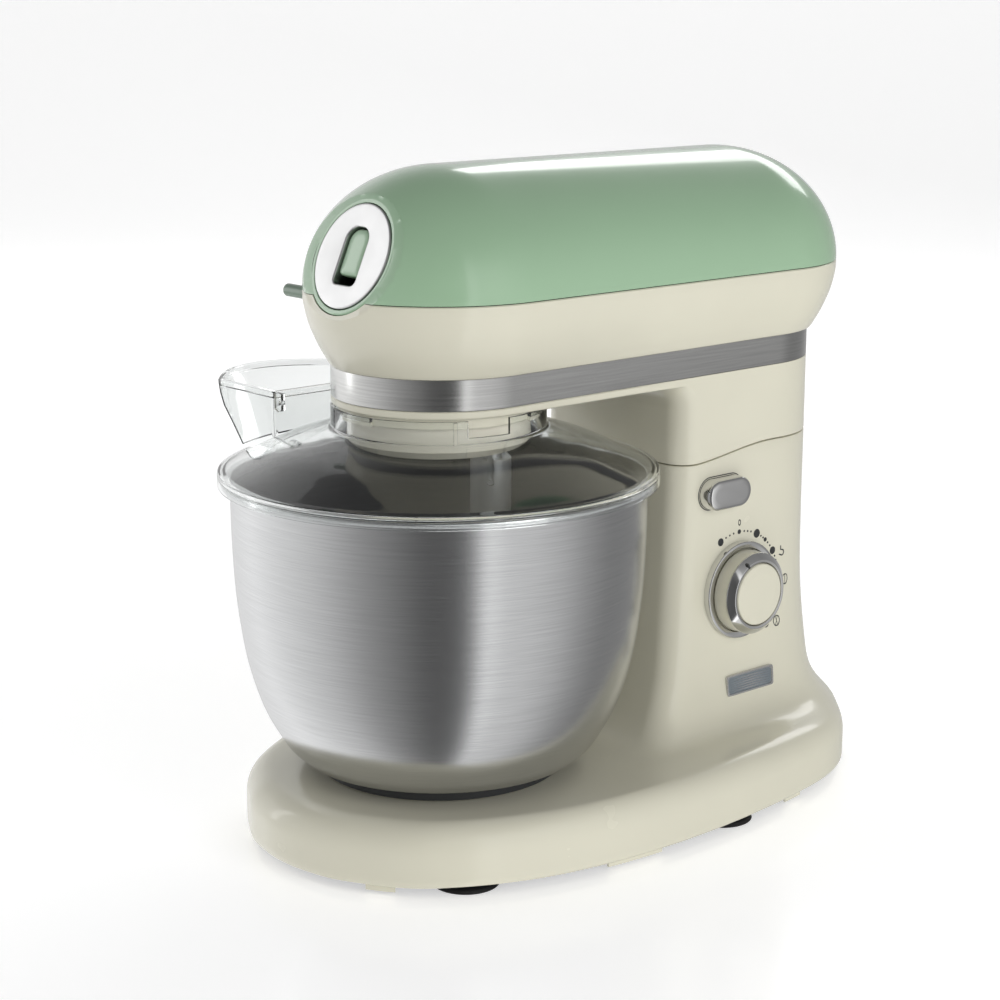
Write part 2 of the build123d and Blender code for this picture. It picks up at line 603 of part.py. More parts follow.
def chassis():
    """The cast plate that carries the motor and the gears."""
    plate = slab(stadium(50, 0, 200), 264, 267.5)
    plate -= rod(40, 263, 268) - rod(24, 263, 268)
    webs = [Rot(0, 0, angle) * box((20, -5, 264), (44, 5, 267.5)) for angle in (30, 150, 270)]
    posts = [rod(3.6, 267, 295.8, x, y) for x, y in BRIDGE_POSTS]
    feet = [motor_place() * Rot(0, 0, angle) * rod(5.0, 267, 294.8, 31, 0) for angle in MOTOR_FEET_ANGLES]
    boss = tube(20, 11, 252, 267.5)
    counter_boss = rod(9, 263.4, 270.0, 0, COUNTER_Y)
    body = plate + webs + posts + feet + boss + counter_boss
    body -= rod(MAIN_SHAFT_R + 1.0, 240, 290) + rod(7.0, 264.6, 272, 0, COUNTER_Y)
    return body - tube(13.0, 0.1, 253, 262) - [rod(5.4, 255, 268, x, y) for x, y in SHELL_POSTS]


def gearbox_bridge():
    """The spider over the gears that holds their upper bearings."""
    plate = slab(stadium(14, 0, COUNTER_Y), 296, 299.5)
    for x, y in BRIDGE_POSTS:
        length, angle = sqrt(x * x + (y - 24) ** 2), degrees(atan2(y - 24, x))
        plate += Pos(0, 24, 0) * Rot(0, 0, angle) * box((0, -5, 296), (length, 5, 299.5))
        plate += rod(6, 296, 299.5, x, y)
    cups = rod(15, 296, 303, 0, 0) + rod(11, 296, 302, 0, COUNTER_Y)
    return plate + cups - rod(11.0, 295, 301) - rod(7.0, 295, 300.5, 0, COUNTER_Y)


def planet_housing():
    """The fixed cup over the planet gear."""
    return tube(51.0, 48.0, 240.0, 262.5) + tube(51.0, 20.2, 251.5, 254.5)


def ring_gear():
    """The fixed ring gear that the planet runs round in."""
    ring = Circle(47.8) - gear_face(RING_TEETH, inward=True)
    return slab(ring, 241.5, 251.0)


def planet_place():
    """The tool shaft's axis at rest."""
    angle = radians(PLANET_ANGLE)
    return Pos(PLANET_OFFSET * cos(angle), PLANET_OFFSET * sin(angle), 0)


def planet_gear():
    """The gear on the tool shaft."""
    face = Rot(0, 0, PLANET_ANGLE) * gear_face(PLANET_TEETH)
    return planet_place() * slab(face - Circle(TOOL_SHAFT_R), 242.0, 249.5)


def planet_carrier():
    """The cup that carries the tool shaft round the bowl's axis."""
    cup = turned((
        (0, 216), (46, 216), (49.5, 219.5), (49.5, 238.2), (46.5, 238.2), (46.5, 221.5), (44, 219), (0, 219),
    ))
    hub = rod(14, 218, 239.5) + tube(46.6, 10, 232, 235)
    sleeve = rod(12.5, 214, 238.5)
    bore = rod(TOOL_SHAFT_R + 1, 200, 250) + rod(10.5, 213, 220) + rod(10.5, 233.5, 240)
    body = cup + hub + planet_place() * sleeve - planet_place() * bore
    return body - rod(MAIN_SHAFT_R, 221, 250)


def tool_bearings():
    """The two bearings of the tool shaft."""
    low = bearing(TOOL_SHAFT_R + RUNNING, 10.5, 214.5, 220)
    high = bearing(TOOL_SHAFT_R + RUNNING, 10.5, 233.5, 238.2)
    return group([planet_place() * low, planet_place() * high])


def main_shaft():
    """The shaft on the bowl's axis, stepped down for its upper bearing."""
    return rod(MAIN_SHAFT_R, 221, 296) + rod(5.0, 296, 301)


def main_gear():
    """The large gear on the main shaft, turned half a tooth to mesh with the pinion."""
    face = gear_face(GEAR_TEETH, 180 / GEAR_TEETH) - Circle(MAIN_SHAFT_R)
    return slab(face, 271, 281) + tube(13, MAIN_SHAFT_R, 281, 283.4)


def shaft_bearings():
    """The bearings of the main shaft, the countershaft and the motor."""
    return group([
        bearing(MAIN_SHAFT_R + RUNNING, 13.0, 253, 262),
        bearing(5.0 + RUNNING, 11.0, 296.1, 301),
        bearing(COUNTER_SHAFT_R + RUNNING, 7.0, 265.2, 269.7, 0, COUNTER_Y),
        bearing(COUNTER_SHAFT_R + RUNNING, 7.0, 296.1, 300.4, 0, COUNTER_Y),
        bearing(MOTOR_SHAFT_R + RUNNING, 9.0, 295, 299, 0, MOTOR_Y),
        bearing(MOTOR_SHAFT_R + RUNNING, 9.0, 338.6, 342, 0, MOTOR_Y),
    ])


def pinion():
    """The small gear on the countershaft."""
    face = gear_face(PINION_TEETH, 180 / PINION_TEETH)
    return Pos(0, COUNTER_Y, 0) * slab(face - Circle(COUNTER_SHAFT_R), 271, 282.5)


def countershaft():
    """The shaft between the belt and the gears."""
    return rod(COUNTER_SHAFT_R, 265.0, 300.2, 0, COUNTER_Y)


def pulley(radius, bore, x, y, bottom=284.0, top=294.0):
    """A belt pulley with a flange at each end."""
    body = rod(radius, bottom, top, x, y) + rod(radius + 2.6, bottom, bottom + 1.2, x, y)
    return body + rod(radius + 2.6, top - 1.2, top, x, y) - rod(bore, bottom - 1, top + 1, x, y)


def big_pulley():
    """The driven pulley on the countershaft, with six lightening holes."""
    wheel = pulley(BIG_PULLEY_R, COUNTER_SHAFT_R, 0, COUNTER_Y)
    hole = rod(8.0, 280, 300, 22, 0)
    return wheel - [Pos(0, COUNTER_Y, 0) * Rot(0, 0, angle) * hole for angle in range(0, 360, 60)]


def motor_pulley():
    """The driving pulley on the motor's shaft."""
    return pulley(MOTOR_PULLEY_R, MOTOR_SHAFT_R, 0, MOTOR_Y)


def belt_loop(extra):
    """The outline of the belt on both pulleys, at a distance outside them."""
    small, big = MOTOR_PULLEY_R + extra, BIG_PULLEY_R + extra
    span = MOTOR_Y - COUNTER_Y
    lean = (big - small) / span
    side = sqrt(1 - lean * lean)
    near = (big * side, COUNTER_Y + big * lean)
    far = (small * side, MOTOR_Y + small * lean)
    sides = make_face(Polyline(near, far, (-far[0], far[1]), (-near[0], near[1]), close=True))
    return sides + Pos(0, COUNTER_Y) * Circle(big) + Pos(0, MOTOR_Y) * Circle(small)


def drive_belt():
    """The flat belt round both pulleys."""
    return slab(belt_loop(0.35 + BELT_THICKNESS) - belt_loop(0.35), 285.6, 292.4)


def motor_place():
    """The motor's axis."""
    return Pos(0, MOTOR_Y, 0)


def motor_stator():
    """The motor's laminated field, with its four bolt holes."""
    core = Circle(MOTOR_R) & Rectangle(2 * MOTOR_R, 62)
    window = Circle(21.6) + Rectangle(65, 30)
    bolts = [Pos(x, y) * Circle(2.3) for x in (20, -20) for y in (20, -20)]
    return motor_place() * slab(core - window - bolts, 303, 327)


def motor_windings():
    """The two field coils."""
    coils = [Pos(x, 0) * RectangleRounded(9, 28, 3) - Circle(22.0) for x in (27.5, -27.5)]
    return group(motor_place() * slab(face, 299.5, 331) for face in coils)


def motor_end_plates():
    """The motor's end plates, with the bolts between them."""
    low = tube(36, 9.0, 295, 298, 0, MOTOR_Y) - [rod(5, 290, 299, x, MOTOR_Y) for x in (22, -22)]
    high = tube(30, 9.0, 339.4, 342, 0, MOTOR_Y) + box((-30, MOTOR_Y - 5, 339.4), (-10, MOTOR_Y + 5, 342))
    posts = [rod(2.2, 298, 339.4, x, MOTOR_Y + y) for x in (20, -20) for y in (20, -20)]
    return low + high + posts


def armature():
    """The motor's turning core."""
    core = slotted_disc(20.6, 12) - Circle(MOTOR_SHAFT_R)
    return motor_place() * slab(core, 303, 327)


def slotted_disc(radius, slots):
    """A round lamination with slots for the winding."""
    face = Circle(radius)
    for index in range(slots):
        face -= Rot(0, 0, 360 / slots * index) * Pos(radius - 3.5, 0) * Circle(2.2)
    return face


def motor_shaft():
    """The motor's shaft, from the pulley to the fan."""
    return rod(MOTOR_SHAFT_R, 282, 350, 0, MOTOR_Y)


def commutator():
    """The commutator with its 24 bars."""
    ring = Circle(10.5) - Circle(MOTOR_SHAFT_R)
    for index in range(24):
        ring -= Rot(0, 0, 15 * index) * Pos(10.3, 0) * Rectangle(1.2, 0.5)
    return motor_place() * slab(ring, 328.5, 337.5)


def carbon_brushes():
    """The two brushes, just off the commutator."""
    brush = box((10.9, MOTOR_Y - 3.5, 330), (22, MOTOR_Y + 3.5, 336))
    return group([brush, mirror(brush, Plane.YZ)])


def cooling_fan():
    """The fan over the motor, with twelve straight blades."""
    fan = tube(8, MOTOR_SHAFT_R, 343.5, 349.5) + tube(26, MOTOR_SHAFT_R, 343.5, 344.7)
    blades = [Rot(0, 0, angle) * box((7, -0.6, 344), (26, 0.6, 349)) for angle in range(0, 360, 30)]
    return motor_place() * (fan + blades)


TOOL_PIN_R, TOOL_PIN_Z = 1.6, 196.0


def tool_turn():
    """How the tool stands at rest, square to the line from the bowl's axis."""
    return Rot(0, 0, PLANET_ANGLE + 90)


def tool_shaft():
    """The output shaft, cross-drilled for the tool's pin."""
    shaft = rod(TOOL_SHAFT_R, 186, 250.4)
    shaft = chamfer(shaft.edges().group_by(Axis.Z)[0], 1.0)
    return planet_place() * (shaft - tool_turn() * rod_x(TOOL_PIN_R, -20, 20, 0, TOOL_PIN_Z))


def tool_pin():
    """The cross pin that drives and holds the tool."""
    return planet_place() * tool_turn() * rod_x(TOOL_PIN_R, -9.5, 9.5, 0, TOOL_PIN_Z)


def flat_beater():
    """A cast frame with a hub, two curved sides and slanted bars."""
    outer = Spline((10, 176), (46, 150), (58, 112), (48, 66), (0, 54), tangents=((1, 0), (-1, 0)))
    inner = Spline((8, 165), (38, 143), (49, 112), (41, 73), (0, 62), tangents=((1, 0), (-1, 0)))
    half = make_face([outer, Polyline((0, 54), (0, 176), (10, 176))])
    hole = make_face([inner, Polyline((0, 62), (0, 165), (8, 165))])
    frame_face = half + mirror(half, Plane.YZ) - hole - mirror(hole, Plane.YZ)
    bars = Pos(0, 113) * Rectangle(7, 110) + Pos(0, 118) * Rot(0, 0, 28) * Rectangle(94, 6.5)
    bars += Pos(0, 96) * Rot(0, 0, -28) * Rectangle(84, 6.5)
    face = frame_face + (bars & (half + mirror(half, Plane.YZ)))
    web = Pos(0, 3.5, 0) * extrude(Plane.XZ * face, 7)
    web = web - rod(TOOL_SHAFT_R + 0.2, 185, 230)
    hub = tube(11, TOOL_SHAFT_R + 0.2, 185, 208) + rod(11, 170, 185)
    hub -= rod_x(2.0, -20, 20, 0, TOOL_PIN_Z) + box((-14, -2.0, TOOL_PIN_Z), (14, 2.0, 209))
    return planet_place() * tool_turn() * (web + hub)


# ---------------------------------------------------------------- lid and chute
def dome(offset_z):
    """The lid's dome as (radius, height) points from the edge to the collar."""
    points = ((110, 205.5), (86, 216.5), (65, 223), (COLLAR_R, 226))
    return [(r, z + offset_z) for r, z in points]


def lid():
    """The clear splash lid, with its skirt, collar and three locking tabs."""
    top = dome(LID_WALL / 2)
    under = dome(-LID_WALL / 2)[::-1]
    edge_top = [(LID_R, LID_EDGE_Z - 2.0), (LID_R - 1.6, LID_EDGE_Z)]
    outline = [(LID_R, LID_BOTTOM_Z)] + edge_top + top + [(COLLAR_R, COLLAR_TOP_Z)]
    outline += [(COLLAR_R - LID_WALL, COLLAR_TOP_Z), (COLLAR_R - LID_WALL, 224.6)] + under[1:]
    outline += [(LID_R - LID_WALL, LID_EDGE_Z - 2.4), (LID_R - LID_WALL, LID_BOTTOM_Z)]
    body = turned(outline)
    notch = box((50, -12, 229), (62, 12, 240))
    body -= Rot(0, 0, -12) * notch
    tabs = [sector(54.0, COLLAR_R - 1, 235.7, 237.6, angle, 24) for angle in LID_LOCK_ANGLES]
    rib = Rot(0, 0, -31) * box((COLLAR_R - 1, -0.9, 226), (COLLAR_R + 1.6, 0.9, COLLAR_TOP_Z))
    return body + tabs + rib - chute_solid(-0.1)


CHUTE_SECTIONS = (              # height, corner x, outermost x
    (196.0, -104.0, -115.6),
    (208.0, -114.0, -130.0),
    (224.0, -128.5, -154.0),
    (CHUTE_TOP_Z, CHUTE_CORNER_X, CHUTE_OUT_X),
)


def chute_section(corner_x, out_x, inset):
    """Plan of the chute: three straight walls and a bowed outer one."""
    inner, half = CHUTE_INNER_X - inset, CHUTE_HALF_Y - inset
    bow = ThreePointArc((corner_x, -half), (out_x + inset, 0), (corner_x, half))
    walls = Polyline((corner_x, half), (inner, half), (inner, -half), (corner_x, -half))
    return make_face([bow, walls])


def chute_funnel(inset):
    """The chute as a solid funnel."""
    return loft([Pos(0, 0, z) * chute_section(corner, out, inset) for z, corner, out in CHUTE_SECTIONS])


def chute_solid(inset):
    """The funnel from where it meets the lid upwards."""
    return chute_funnel(inset) & box((-200, -100, 204.5), (0, 100, 300))


def feed_chute():
    """The clear pouring chute, open above and below, with a small hook at its near corner."""
    shell = chute_solid(0) - chute_funnel(CHUTE_WALL)
    edge_y = -CHUTE_HALF_Y
    hook = box((CHUTE_INNER_X, edge_y, 229), (CHUTE_INNER_X + 7, edge_y + 3, CHUTE_TOP_Z))
    eye = Pos(CHUTE_INNER_X + 3.6, edge_y - 1, 232) * Rot(-90, 0, 0) * extrude(Circle(1.3), 6)
    return shell + (hook - eye)


# ---------------------------------------------------------------- bowl
BOWL_LOCK_ANGLES = (0, 120, 240)


def bowl():
    """A spun steel bowl with a rolled rim."""
    outside = [(BOWL_CREASE_R, BOWL_CREASE_Z)] + list(BOWL_PROFILE)
    inside = [(r - BOWL_WALL, z + 0.3) for r, z in BOWL_PROFILE]
    outer = Spline(*outside, tangents=((0.65, 0.76), (0, 1)))
    floor_in = (BOWL_CREASE_R - 2.0, BOWL_CREASE_Z + BOWL_WALL)
    inner = Spline(floor_in, *inside, tangents=((0.65, 0.76), (0, 1)))
    rim = ((114.2, 0), (114.2, -3.6), (113.2, -3.6), (113.2, -1.2), (111.5, -1.2))
    rolled = [(r, BOWL_RIM_Z + z) for r, z in rim]
    top = Polyline(inside[-1], (inside[-1][0], BOWL_RIM_Z), *rolled, outside[-1])
    floor = Polyline(outside[0], (0, BOWL_CREASE_Z), (0, BOWL_CREASE_Z + BOWL_WALL), floor_in)
    return revolve(Plane.XZ * make_face([outer, inner, top, floor]), Axis.Z)


def bowl_foot_ring():
    """The bowl's foot, with the lugs that turn under the seat."""
    ring = tube(FOOT_RING_R, FOOT_RING_R - 3, FOOT_RING_BOTTOM_Z, BOWL_CREASE_Z)
    lugs = [sector(57.5, FOOT_RING_R - 2, 39.4, 41.2, angle, 26) for angle in BOWL_LOCK_ANGLES]
    return ring + lugs


def bowl_seat():
    """The plate that the bowl twists on to."""
    plate = rod(SEAT_R, BASE_TOP_Z - 0.8, SEAT_TOP_Z)
    tabs = [sector(SEAT_R - 1, 61, 41.8, SEAT_TOP_Z, angle, 26) for angle in BOWL_LOCK_ANGLES]
    body = plate + tabs - rod(38, 42, 46)
    hole = rod(2.2, 30, 50, SEAT_SCREW_R, 0)
    return body - [Rot(0, 0, angle) * hole for angle in SEAT_SCREW_ANGLES]


# ---------------------------------------------------------------- assembly
NODES = (
    stand_shell, bottom_cover, suction_feet, base_screws, bowl_seat,
    stand_hinge_bracket, hinge_pin, latch_guide, button_spring, dial_bezel, speed_switch,
    control_board, badge, cable_gland,
    release_button, latch_slider,
    knob_body, knob_trim, knob_face, switch_spindle,
    head_upper_shell, head_lower_shell, steel_band, arm_and_neck, shell_screws,
    neck_hinge_bracket, latch_striker, chassis, gearbox_bridge, planet_housing, ring_gear,
    shaft_bearings, drive_belt, motor_stator, motor_windings, motor_end_plates,
    carbon_brushes,
    nose_cover, cover_latch, hub_lock_pin,
    main_shaft, main_gear, planet_carrier, tool_bearings,
    planet_gear, tool_shaft, tool_pin, flat_beater,
    countershaft, pinion, big_pulley,
    motor_shaft, armature, commutator, cooling_fan, motor_pulley,
    lid, feed_chute, bowl, bowl_foot_ring,
)

if __name__ == "__main__":
    os.makedirs("parts", exist_ok=True)
    for make in NODES:
        export_step(make(), f"parts/{make.__name__}.step")
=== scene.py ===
"""The looks of the stand mixer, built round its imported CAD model.

Lengths are in millimetres in the row frame until a mesh is made, and metres in Blender. The bowl's
axis is x = y = 0 and the worktop is z = 0. The nose points to -Y and the dial is on the +X side.
"""
import json
from math import atan2, cos, hypot, pi, radians, sin, sqrt

import bmesh
import bpy
import numpy as np
from mathutils import Matrix, Vector


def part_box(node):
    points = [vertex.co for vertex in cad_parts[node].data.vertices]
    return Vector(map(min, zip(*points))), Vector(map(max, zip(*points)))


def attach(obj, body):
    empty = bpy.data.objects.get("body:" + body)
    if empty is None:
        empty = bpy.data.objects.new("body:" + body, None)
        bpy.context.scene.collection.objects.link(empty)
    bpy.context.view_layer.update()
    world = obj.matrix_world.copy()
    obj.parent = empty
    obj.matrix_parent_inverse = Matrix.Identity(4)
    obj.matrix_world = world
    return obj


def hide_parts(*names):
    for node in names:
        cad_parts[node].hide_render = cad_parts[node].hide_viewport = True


MM = 0.001
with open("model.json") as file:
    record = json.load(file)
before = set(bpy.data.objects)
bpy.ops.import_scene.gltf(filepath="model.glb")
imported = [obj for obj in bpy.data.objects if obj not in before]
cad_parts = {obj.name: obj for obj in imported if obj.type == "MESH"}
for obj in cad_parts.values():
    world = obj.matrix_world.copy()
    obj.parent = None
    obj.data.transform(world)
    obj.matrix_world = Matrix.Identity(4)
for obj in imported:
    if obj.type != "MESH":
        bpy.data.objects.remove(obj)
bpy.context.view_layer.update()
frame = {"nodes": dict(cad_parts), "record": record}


def node_box(name):
    """Lowest and highest corner of a CAD node, in millimetres."""
    low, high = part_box(name)
    return low / MM, high / MM


def side_middle(low, high):
    """The middle of a box in Y and Z."""
    return (low.y + high.y) / 2, (low.z + high.z) / 2


# ---------------------------------------------------------------- sizes read from the frame
_, shell_high = node_box("head_upper_shell")
_, tub_high = node_box("head_lower_shell")
band_low, band_high = node_box("steel_band")
ring_low, _ = node_box("bowl_foot_ring")
knob_low, knob_high = node_box("knob_body")
bezel_low, bezel_high = node_box("dial_bezel")
button_low, button_high = node_box("release_button")
badge_low, badge_high = node_box("badge")
peg_low, peg_high = node_box("hub_lock_pin")
_, housing_high = node_box("planet_housing")

SHELL_R = shell_high.x
SHELL_FRONT_Y, SHELL_REAR_Y = 2.0, shell_high.y - SHELL_R
SEAM_Z, ROOF_Z = tub_high.z + 0.15, shell_high.z
BAND_R = band_high.x
BAND_FRONT_Y, BAND_REAR_Y = band_low.y + BAND_R, band_high.y - BAND_R
ARM_BOTTOM_Z = 239.2
WALL = 3.0
NOSE_ORIGIN, NOSE_TILT = (0.0, -55.7, 320.0), radians(24)
DISC_R, LIP_R = 28.2, 31.5
COLUMN_REAR_Y, CORNER_R, ARM_CORNER_R = 204.0, 14.0, 15.0
COLUMN = ((30, 80, 84), (38.5, 72, 96), (50, 66.5, 105), (74, 62.5, 115), (108, 59.2, 121),
          (145, 58.4, 124), (193, 58.4, 126), (216, 58.4, 126.4), (260, 58.4, 126.4))
BASE_TOP_Z, BASE_BOTTOM_Z = 38.5, 5.5
EDGE_R, LOWER_R = 15.0, 3.0      # rounding of the base's top and bottom edges
BASE_SIDE = ((0, -108.5), (22, -105.9), (44, -98), (78, -72), (107, -13), (118, 70),
             (112, 163), (95, 225), (52, 272), (28, 282.3), (0, 286.5))
LID_R, COLLAR_R = 118.0, 57.5
LID_TURNS, BOWL_TURNS = (30, 150, 270), (0, 120, 240)
STRIKER_SLOT = ((-9, 136, 180), (9, 166, 215))
COLUMN_HINGE_WELL = ((-32, 226, 190), (32, 258, 215))
NECK_HINGE_WELL = ((-32, 226, 180), (32, 262, 215))
ARM_OPENING_R = 51.4
NECK_MIDDLE_Y = COLUMN_REAR_Y - 20
FEET = ((71, -42), (-71, -42), (94.5, 124), (-94.5, 124))
KNOB_Y, KNOB_Z = side_middle(knob_low, knob_high)


# ---------------------------------------------------------------- camera
CAMERA_PLACE = (0.88166, -0.72137, 0.45446)
CAMERA_AZIMUTH, CAMERA_DOWN = radians(49.073), radians(13.338)
CAMERA_LENS = 78.52


def make_camera():
    data = bpy.data.cameras.new("view")
    data.lens, data.sensor_width = CAMERA_LENS, 36.0
    data.clip_start, data.clip_end = 0.01, 50
    camera = bpy.data.objects.new("view", data)
    camera.location = CAMERA_PLACE
    look = Vector((
        -sin(CAMERA_AZIMUTH) * cos(CAMERA_DOWN),
        cos(CAMERA_AZIMUTH) * cos(CAMERA_DOWN),
        -sin(CAMERA_DOWN),
    ))
    camera.rotation_mode = "QUATERNION"
    camera.rotation_quaternion = look.to_track_quat("-Z", "Y")
    bpy.context.scene.collection.objects.link(camera)
    bpy.context.scene.camera = camera


# ---------------------------------------------------------------- materials
def colour(red, green, blue):
    """A colour given as 0 to 255 screen values, made linear."""
    def linear(value):
        value = value / 255
        return value / 12.92 if value <= 0.04045 else ((value + 0.055) / 1.055) ** 2.4
    return (linear(red), linear(green), linear(blue), 1.0)


def new_node(tree, kind, inputs=None, operation=None):
    """A node with its inputs set to numbers or joined to other nodes' outputs."""
    node = tree.nodes.new("ShaderNode" + kind)
    if operation:
        node.operation = operation
    for socket, value in (inputs or {}).items():
        if isinstance(value, bpy.types.NodeSocket):
            tree.links.new(value, node.inputs[socket])
        else:
            node.inputs[socket].default_value = value
    return node


class Finish:
    """A node material that starts as a principled shader with its own sockets set."""

    def __init__(self, name, base, roughness, metallic=0.0, **sockets):
        self.material = bpy.data.materials.new(name)
        self.material.use_nodes = True
        self.tree = self.material.node_tree
        self.nodes, self.links = self.tree.nodes, self.tree.links
        self.shader = self.nodes["Principled BSDF"]
        self.base = base
        self.roughness = roughness
        self.shader.inputs["Base Color"].default_value = base
        self.shader.inputs["Roughness"].default_value = roughness
        self.shader.inputs["Metallic"].default_value = metallic
        for socket, value in sockets.items():
            self.shader.inputs[socket.replace("_", " ")].default_value = value
        self.place = self.add("TexCoord").outputs["Object"]
        self.height = None

    def add(self, kind, inputs=None, operation=None):
        return new_node(self.tree, kind, inputs, operation)

    def stretched(self, scale):
        """The object's place, scaled on each axis."""
        return self.add("Mapping", {"Scale": scale, "Vector": self.place}).outputs["Vector"]

    def rings(self, scale, swirl=0.0):
        """A place given by the distance from the Z axis, the angle round it and the height."""
        split = self.add("SeparateXYZ", {0: self.place}).outputs
        flat = self.add("CombineXYZ", {"X": split["X"], "Y": split["Y"]})
        length = self.add("VectorMath", {0: flat.outputs[0]}, "LENGTH")
        turn = self.add("Math", {0: split["Y"], 1: split["X"]}, "ARCTAN2")
        place = self.add("CombineXYZ", {"X": length.outputs["Value"], "Y": turn.outputs[0],
                                        "Z": split["Z"]})
        mapping = {"Scale": (scale, swirl, scale), "Vector": place.outputs[0]}
        return self.add("Mapping", mapping).outputs["Vector"]

    def noise(self, vector, scale, detail=3.0):
        node = self.add("TexNoise", {"Scale": scale, "Detail": detail, "Vector": vector})
        return node.outputs["Fac"]

    def ramp(self, value, low, high, start=0.3, end=0.7):
        node = self.nodes.new("ShaderNodeValToRGB")
        node.color_ramp.elements[0].position, node.color_ramp.elements[1].position = start, end
        node.color_ramp.elements[0].color, node.color_ramp.elements[1].color = low, high
        self.links.new(value, node.inputs["Fac"])
        return node.outputs["Color"]

    def tint(self, value, spread):
        """Varies the base colour a little."""
        low = tuple(c * (1 - spread) for c in self.base[:3]) + (1.0,)
        high = tuple(min(1.0, c * (1 + spread)) for c in self.base[:3]) + (1.0,)
        self.links.new(self.ramp(value, low, high), self.shader.inputs["Base Color"])

    def gloss(self, value, spread):
        """Varies the roughness a little."""
        node = self.add("MapRange", {"To Min": max(0.0, self.roughness - spread),
                                     "To Max": self.roughness + spread, "Value": value})
        self.links.new(node.outputs["Result"], self.shader.inputs["Roughness"])

    def bump(self, value, strength, distance):
        node = self.add("Bump", {"Strength": strength, "Distance": distance, "Height": value})
        if self.height is not None:
            self.links.new(self.height, node.inputs["Normal"])
        self.height = node.outputs["Normal"]
        self.links.new(self.height, self.shader.inputs["Normal"])


def moulded(name, base, roughness=0.26, coat=0.35, grain=0.06):
    """Glossy moulded plastic: faint orange peel, colour drift and wipe marks."""
    made = Finish(name, base, roughness, Coat_Weight=coat, Coat_Roughness=0.06, IOR=1.5)
    made.tint(made.noise(made.place, 14, 2), 0.018)
    made.gloss(made.noise(made.place, 30, 3), 0.03)
    made.bump(made.noise(made.place, 420, 1), grain, 0.0001)
    return made.material


def matt(name, base, roughness=0.6, grain=0.25, scale=1600):
    """Rubber or plain plastic with a fine spark-eroded grain."""
    made = Finish(name, base, roughness, IOR=1.48)
    made.tint(made.noise(made.place, 40, 3), 0.10)
    made.gloss(made.noise(made.place, 260, 4), 0.10)
    made.bump(made.noise(made.place, scale, 3), grain, 0.0003)
    return made.material


def polished(name, base, roughness=0.06):
    """Chrome plate with faint wipe marks."""
    made = Finish(name, base, roughness, metallic=1.0)
    made.gloss(made.noise(made.stretched((1, 0.3, 1)), 160, 6), 0.03)
    made.bump(made.noise(made.place, 60, 2), 0.04, 0.0004)
    return made.material


def brushed_round(name, base, roughness, anisotropic, strength):
    """Spun steel: fine lines that run round the Z axis."""
    made = Finish(name, base, roughness, metallic=1.0, Anisotropic=anisotropic)
    tangent = made.nodes.new("ShaderNodeTangent")
    tangent.direction_type, tangent.axis = "RADIAL", "Z"
    made.links.new(tangent.outputs[0], made.shader.inputs["Tangent"])
    lines = made.noise(made.rings(1.0, 0.0012), 2600, 4)
    made.tint(lines, 0.07)
    made.gloss(made.noise(made.rings(1.0, 0.02), 1500, 5), 0.03)
    made.bump(lines, strength, 0.0001)
    return made.material


def brushed_long(name, base, roughness, stretch, strength=0.12):
    """Steel brushed along one axis."""
    made = Finish(name, base, roughness, metallic=1.0)
    lines = made.noise(made.stretched(stretch), 900, 5)
    made.tint(lines, 0.09)
    made.gloss(lines, 0.06)
    made.bump(lines, strength, 0.0001)
    return made.material


def machined(name, base, roughness=0.32):
    """Turned or cut metal inside the machine: short tool marks and dull patches."""
    made = Finish(name, base, roughness, metallic=1.0)
    made.tint(made.noise(made.place, 55, 5), 0.16)
    made.gloss(made.noise(made.stretched((1, 1, 6)), 240, 5), 0.12)
    made.bump(made.noise(made.stretched((1, 1, 8)), 380, 3), 0.15, 0.0002)
    return made.material


def cast(name, base, roughness=0.5):
    """Die-cast aluminium: a pebbled skin."""
    made = Finish(name, base, roughness, metallic=0.9)
    made.tint(made.noise(made.place, 70, 5), 0.15)
    made.gloss(made.noise(made.place, 300, 3), 0.12)
    made.bump(made.noise(made.place, 950, 4), 0.35, 0.0004)
    return made.material


def clear(name, base):
    """Clear moulded plastic with very faint flow ripples."""
    made = Finish(name, base, 0.03, Transmission_Weight=1.0, IOR=1.42)
    made.gloss(made.noise(made.place, 50, 4), 0.02)
    made.bump(made.noise(made.place, 25, 2), 0.02, 0.0006)
    return made.material


def wound(name, base):
    """Enamelled copper wire laid side by side."""
    made = Finish(name, base, 0.35, metallic=0.85, Coat_Weight=0.4)
    wave = made.nodes.new("ShaderNodeTexWave")
    wave.bands_direction = "Z"
    wave.inputs["Scale"].default_value = 420
    wave.inputs["Distortion"].default_value = 1.5
    made.links.new(made.place, wave.inputs["Vector"])
    made.tint(wave.outputs["Fac"], 0.35)
    made.bump(wave.outputs["Fac"], 0.7, 0.0004)
    return made.material


def laminated(name, base):
    """A stack of thin iron sheets."""
    made = Finish(name, base, 0.45, metallic=0.8)
    lines = made.noise(made.stretched((0.01, 0.01, 1)), 2200, 2)
    made.tint(lines, 0.4)
    made.gloss(made.noise(made.place, 200, 4), 0.1)
    made.bump(lines, 0.6, 0.0003)
    return made.material


def board(name, base):
    """A printed circuit board with tracks."""
    made = Finish(name, base, 0.4, Coat_Weight=0.5)
    brick = made.nodes.new("ShaderNodeTexVoronoi")
    brick.feature = "DISTANCE_TO_EDGE"
    brick.distance = "CHEBYCHEV"
    brick.inputs["Scale"].default_value = 160
    made.links.new(made.place, brick.inputs["Vector"])
    bright = tuple(min(1.0, c * 1.9) for c in base[:3]) + (1.0,)
    track = made.ramp(brick.outputs["Distance"], bright, base, 0.03, 0.06)
    made.links.new(track, made.shader.inputs["Base Color"])
    made.gloss(made.noise(made.place, 300, 3), 0.08)
    made.bump(brick.outputs["Distance"], 0.2, 0.0002)
    return made.material


